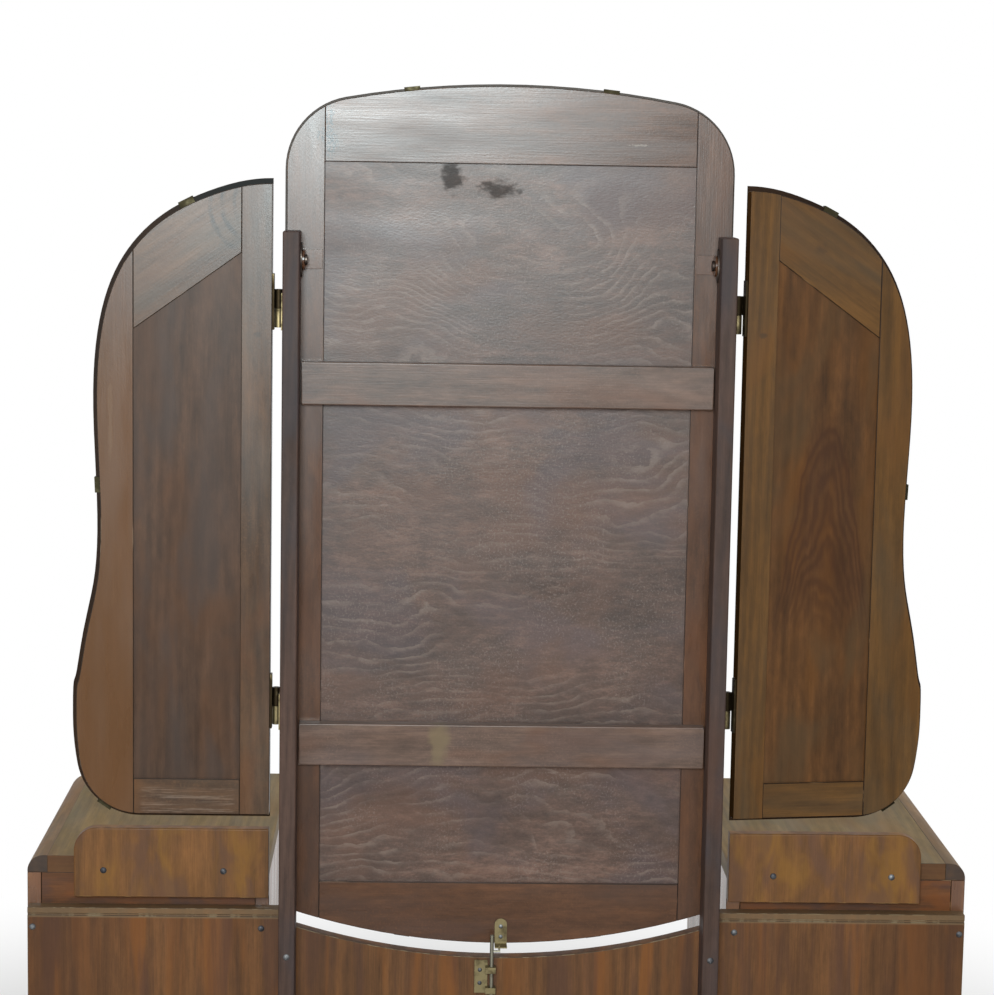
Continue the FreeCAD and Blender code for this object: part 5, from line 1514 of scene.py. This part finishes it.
def metal(name, bright, dull, roughness=0.35, tarnish=0.0):
    """Metal with tarnish in soft patches and fine scratches."""
    finish = Finish(name)
    place = finish.place()
    patches = finish.noise(place, METAL_WAVES, detail=4)
    scratches = finish.noise(place, SCRATCH_WAVES, detail=2)
    worn = finish.total(patches, finish.times(finish.tone(), TONE_PUSH))
    low, high = TARNISH_EDGE
    amount = finish.band(worn, low + tarnish, high + tarnish)
    rough = finish.between(patches, roughness + 0.15, roughness - 0.05)
    return finish.finish(finish.blend(amount, dull, bright), rough, scratches, 0.02 * MM, Metallic=1.0)


FINISHES["hinge_brass"] = metal("hinge_brass", paint(106, 92, 66), paint(36, 28, 18), 0.5, tarnish=0.06)
FINISHES["catch_brass"] = metal("catch_brass", paint(98, 86, 62), paint(64, 54, 38), 0.55)
FINISHES["clip_bronze"] = metal("clip_bronze", paint(64, 58, 42), paint(40, 35, 24), 0.6)
FINISHES["pivot_bronze"] = metal("pivot_bronze", paint(104, 94, 86), paint(46, 38, 34), 0.45)
FINISHES["knob_brass"] = metal("knob_brass", paint(206, 172, 108), paint(150, 118, 66), 0.22)
FINISHES["screw_steel"] = metal("screw_steel", paint(100, 98, 98), paint(56, 54, 56), 0.6)
FINISHES["rod_steel"] = metal("rod_steel", paint(104, 98, 86), paint(56, 50, 42), 0.5)
print("finishes with the metals:", len(FINISHES))

# %% [markdown]
# A mirror is glass with silver behind it. Real glass over a silver plate would need light to
# pass in and out, which is slow and grainy. As the silver is all that one sees, the front face is
# the silver itself, a shade green, and the bevel a shade darker. Behind it comes the paint that
# keeps the silver: brown black, slate near the left wing's top, and grey on the middle plate.

# %% Silver, edge and backing
MIRROR_SILVER = np.array([226, 230, 229])
BEVEL_SILVER = np.array([206, 214, 211])
DUST_BREATH = np.array([3, 2, 3])
EDGE_BROWN = [paint(34, 24, 14), paint(72, 54, 34)]
BACKING_BROWN = [paint(24, 14, 7), paint(44, 28, 15), paint(64, 44, 24)]
BACKING_GREY = [paint(72, 66, 60), paint(98, 94, 88), paint(116, 112, 104)]
BACKING_SLATE = paint(30, 31, 29)
SLATE_FROM = (1490 * MM, 1530 * MM)
PLATE_HALF = (292 * MM, 290 * MM)
DUST_WAVES = (9, 9, 9)
EDGE_WAVES = (25, 25, 25)
BACKING_WAVES = (14, 14, 14)


def silver(name, lightest):
    """Silvering seen through glass, with a breath of dust; the bevel throws back a little less."""
    finish = Finish(name)
    dust = finish.noise(finish.place(), DUST_WAVES, detail=3)
    dusty = paint(*(lightest - DUST_BREATH))
    colour = finish.blend(finish.band(dust, 0.35, 0.75), paint(*lightest), dusty)
    return finish.finish(colour, finish.line(dust, 0.3, 0.8, 0.01, 0.03), Metallic=1.0)


def glass_edge(name):
    """The ground edge: brown, as the light is lost inside the plate and the paint runs over."""
    finish = Finish(name)
    cloud = finish.noise(finish.place(), EDGE_WAVES, detail=2)
    return finish.finish(finish.ramp(cloud, EDGE_BROWN), 0.5, Specular_IOR_Level=0.0)


def backing_paint(name):
    """Brown-black paint over the silver, slate near the left wing's top, grey on the middle plate."""
    finish = Finish(name)
    place = finish.place()
    across, _, up = finish.split(place)
    cloud = finish.noise(place, BACKING_WAVES, detail=4)
    dried = finish.band(finish.total(up, finish.sway(cloud, 0.02)), *SLATE_FROM)
    dried = finish.times(dried, finish.band(across, 0.0, HALF_GAP))
    colour = finish.blend(dried, finish.ramp(cloud, BACKING_BROWN), BACKING_SLATE)
    middle = finish.band(finish.math("ABSOLUTE", across), *PLATE_HALF)
    colour = finish.blend(middle, colour, finish.ramp(cloud, BACKING_GREY))
    return finish.finish(colour, 0.55, cloud, 0.1 * MM, Specular_IOR_Level=0.05)


FINISHES["silvered_glass"] = silver("silvered_glass", MIRROR_SILVER)
GLASS_LOOKS = {
    FRONT: FINISHES["silvered_glass"],
    EDGE: glass_edge("glass_edge"),
    BACK: backing_paint("backing_paint"),
    BEVEL: silver("bevelled_glass", BEVEL_SILVER),
}
print("glass looks:", len(GLASS_LOOKS))

# %% [markdown]
# Now every piece gets its finish. Most take the one that bears the name of their material slot.
# A few fittings differ from the rest of their slot: clips and pivot plates are bronze, the small
# screws steel, and the pivot brackets were painted over together with the frame.

# %% Give every piece its finish
OTHER_FINISHES = {
    "clips": "clip_bronze",
    "_screw_": "screw_steel",
    "brackets": "mirror_frame",
    "pivot_plates": "pivot_bronze",
}
for piece in made:
    slot = piece["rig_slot"]
    finish = next((other for word, other in OTHER_FINISHES.items() if word in piece.name), slot)
    piece.data.materials.append(FINISHES[finish])
    if slot in ARRISES:
        piece.data.materials.append(HINGE_SIDE if piece.name == HINGE_STILE else ARRISES[slot])
for bead in beads:
    bead.data.materials.append(BEAD_WOOD)
for glass in glasses:
    for look in sorted(GLASS_LOOKS):
        glass.data.materials.append(GLASS_LOOKS[look])
print("pieces with a finish:", len(made) + len(beads) + len(glasses))

# %% [markdown]
# The studio is a pale floor that keeps the shadow near the table and melts into white further
# out. A backdrop that curves up would need a place behind the table, and the table is looked at
# from all sides. So the floor is a disc whose paint turns to a plain white glow with distance,
# but only for rays that look at it; rays that carry light still find the pale paint.

# %% The floor
FLOOR_RADIUS = 14.0
FLOOR_RINGS = 24
FLOOR_SPOKES = 96
FLOOR_PAINT = [paint(232, 232, 231), paint(238, 238, 237)]
FADE_FROM = 1.0
FADE_TO = 2.1


def seen_directly(recipe):
    """One for camera, mirror and glass rays, nought for the rays that carry light."""
    path = recipe.tree.nodes.new("ShaderNodeLightPath")
    seen = recipe.math("MAXIMUM", path.outputs["Is Camera Ray"], path.outputs["Is Glossy Ray"])
    return recipe.math("MAXIMUM", seen, path.outputs["Is Transmission Ray"])


def round_floor():
    """A flat disc: radius grows with the square of the ring's number, angle with the spoke's."""
    radius = FLOOR_RADIUS * (np.arange(1, FLOOR_RINGS + 1) / FLOOR_RINGS) ** 2
    angle = 2 * math.pi * np.arange(FLOOR_SPOKES) / FLOOR_SPOKES
    x = np.outer(radius, np.cos(angle))
    y = np.outer(radius, np.sin(angle))
    points = np.stack([x, y, np.zeros_like(x)], axis=-1).reshape(-1, 3)
    faces = [face[::-1] for face in ring_faces(FLOOR_RINGS, FLOOR_SPOKES).tolist()]
    mesh = bpy.data.meshes.new("studio_floor")
    mesh.from_pydata(points.tolist(), [], faces + [list(range(FLOOR_SPOKES))])
    floor = bpy.data.objects.new("studio_floor", mesh)
    bpy.context.scene.collection.objects.link(floor)
    return floor


def floor_finish():
    """Pale matt paint that fades to plain white with distance, but only as it is looked at."""
    finish = Finish("studio_floor")
    place = finish.place()
    white = finish.band(finish.vector("LENGTH", place), FADE_FROM, FADE_TO)
    speckle = finish.noise(place, (3, 3, 3), detail=3)
    finish.finish(finish.ramp(speckle, FLOOR_PAINT), 0.9)
    glow = finish.tree.nodes.new("ShaderNodeEmission")
    both = finish.tree.nodes.new("ShaderNodeMixShader")
    finish.put(both.inputs[0], finish.times(white, seen_directly(finish)))
    finish.put(both.inputs[1], finish.shader.outputs[0])
    finish.put(both.inputs[2], glow.outputs[0])
    finish.put(finish.tree.nodes["Material Output"].inputs["Surface"], both.outputs[0])
    return finish.material


floor = round_floor()
floor.data.materials.append(floor_finish())
print("floor faces:", len(floor.data.polygons))

# %% [markdown]
# The room round the table is white wherever one looks, in the mirrors too, yet it lights the
# table only softly. A white room at full strength would wash every colour out, so its strength
# has two values, and the kind of ray chooses between them.

# %% The room
ROOM_GLOW = 0.42
ROOM_WHITE = 1.0

world = bpy.data.worlds.new("studio")
world.use_nodes = True
bpy.context.scene.world = world
room = Pattern(world.node_tree)
background = world.node_tree.nodes["Background"]
background.inputs["Color"].default_value = (1, 1, 1, 1)
room.put(background.inputs["Strength"], room.line(seen_directly(room), 0, 1, ROOM_GLOW, ROOM_WHITE))
print("room glow:", ROOM_GLOW, "as seen:", ROOM_WHITE)

# %% [markdown]
# In the picture a window's gloss runs over the mirror's back, while the colours below stay
# deep. One lamp strong enough for that gloss would wash the wood out. So the key lamp lights the
# colours, a cold lamp just above it adds nothing but gloss, and a fill lamp in front keeps the
# drawers readable without showing in the mirrors.

# %% The lamps
WHITE = (1.0, 1.0, 1.0)
COLD_WHITE = (0.80, 0.96, 1.0)
MIRROR_BACK = (0.1, 0.25, 1.2)
TABLE_FRONT = (0.0, 0.0, 0.8)
LAMPS = {
    "key": ((0.42, 4.2, 2.04), MIRROR_BACK, 0.9, 84, WHITE, True, True),
    "gloss": ((0.34, 4.2, 2.22), MIRROR_BACK, 0.9, 370, COLD_WHITE, False, True),
    "fill": ((-2.6, -3.2, 2.8), TABLE_FRONT, 1.6, 80, WHITE, True, False),
}


def soft_lamp(name, place, towards, size, watts, colour, lights_colour, adds_gloss):
    """A square area lamp of a size in metres that stands at a place and looks towards a point."""
    lamp = bpy.data.lights.new(name, "AREA")
    lamp.shape = "SQUARE"
    lamp.size = size
    lamp.energy = watts
    lamp.color = colour
    holder = bpy.data.objects.new(name, lamp)
    bpy.context.scene.collection.objects.link(holder)
    way = Vector(towards) - Vector(place)
    holder.location = place
    holder.rotation_euler = way.to_track_quat("-Z", "Y").to_euler()
    holder.visible_diffuse = lights_colour
    holder.visible_glossy = adds_gloss
    return holder


lamps = [soft_lamp(name, *values) for name, values in LAMPS.items()]
print("lamps:", len(lamps))

# %% [markdown]
# The camera stands where the picture was taken from: behind the table, 3.3 m off the mirror, a
# little left of the middle and at a standing person's eye level. Its place, its turn and its
# lens were worked out from measured points of the table, so that the edges fall where they do in
# the picture. Its axes are built one from another, which leaves no doubt about signs.

# %% The camera
CAMERA_PLACE = (0.109, 3.5763, 1.580)
CAMERA_YAW = math.radians(-1.68)
CAMERA_PITCH = math.radians(7.56)
CAMERA_ROLL = math.radians(0.98)
PICTURE_WIDTH = 994
FOCAL_PIXELS = 2658.7
SENSOR = 36.0


def stand_camera():
    """A camera from its place, yaw, pitch and roll: the axes are built one from another."""
    level = math.cos(CAMERA_PITCH)
    ahead = np.array([math.sin(CAMERA_YAW) * level, -math.cos(CAMERA_YAW) * level, -math.sin(CAMERA_PITCH)])
    right = np.cross(ahead, (0, 0, 1))
    right = right / np.linalg.norm(right)
    up = np.cross(right, ahead)
    matrix = np.eye(4)
    matrix[:3, 0] = math.cos(CAMERA_ROLL) * right + math.sin(CAMERA_ROLL) * up
    matrix[:3, 1] = -math.sin(CAMERA_ROLL) * right + math.cos(CAMERA_ROLL) * up
    matrix[:3, 2] = -ahead
    matrix[:3, 3] = CAMERA_PLACE
    lens = bpy.data.cameras.new("camera")
    lens.sensor_fit = "HORIZONTAL"
    lens.sensor_width = SENSOR
    lens.lens = SENSOR * FOCAL_PIXELS / PICTURE_WIDTH
    camera = bpy.data.objects.new("camera", lens)
    bpy.context.scene.collection.objects.link(camera)
    camera.matrix_world = Matrix(matrix.tolist())
    bpy.context.scene.camera = camera
    return camera


camera = stand_camera()
bpy.context.scene.view_settings.view_transform = "Standard"
print("lens:", round(camera.data.lens, 2), "mm")

# %% [markdown]
# Last, the number of finished pieces is printed.

# %% Count the finished pieces
print("sizes kept for", len(made) + len(beads) + len(glasses), "pieces")
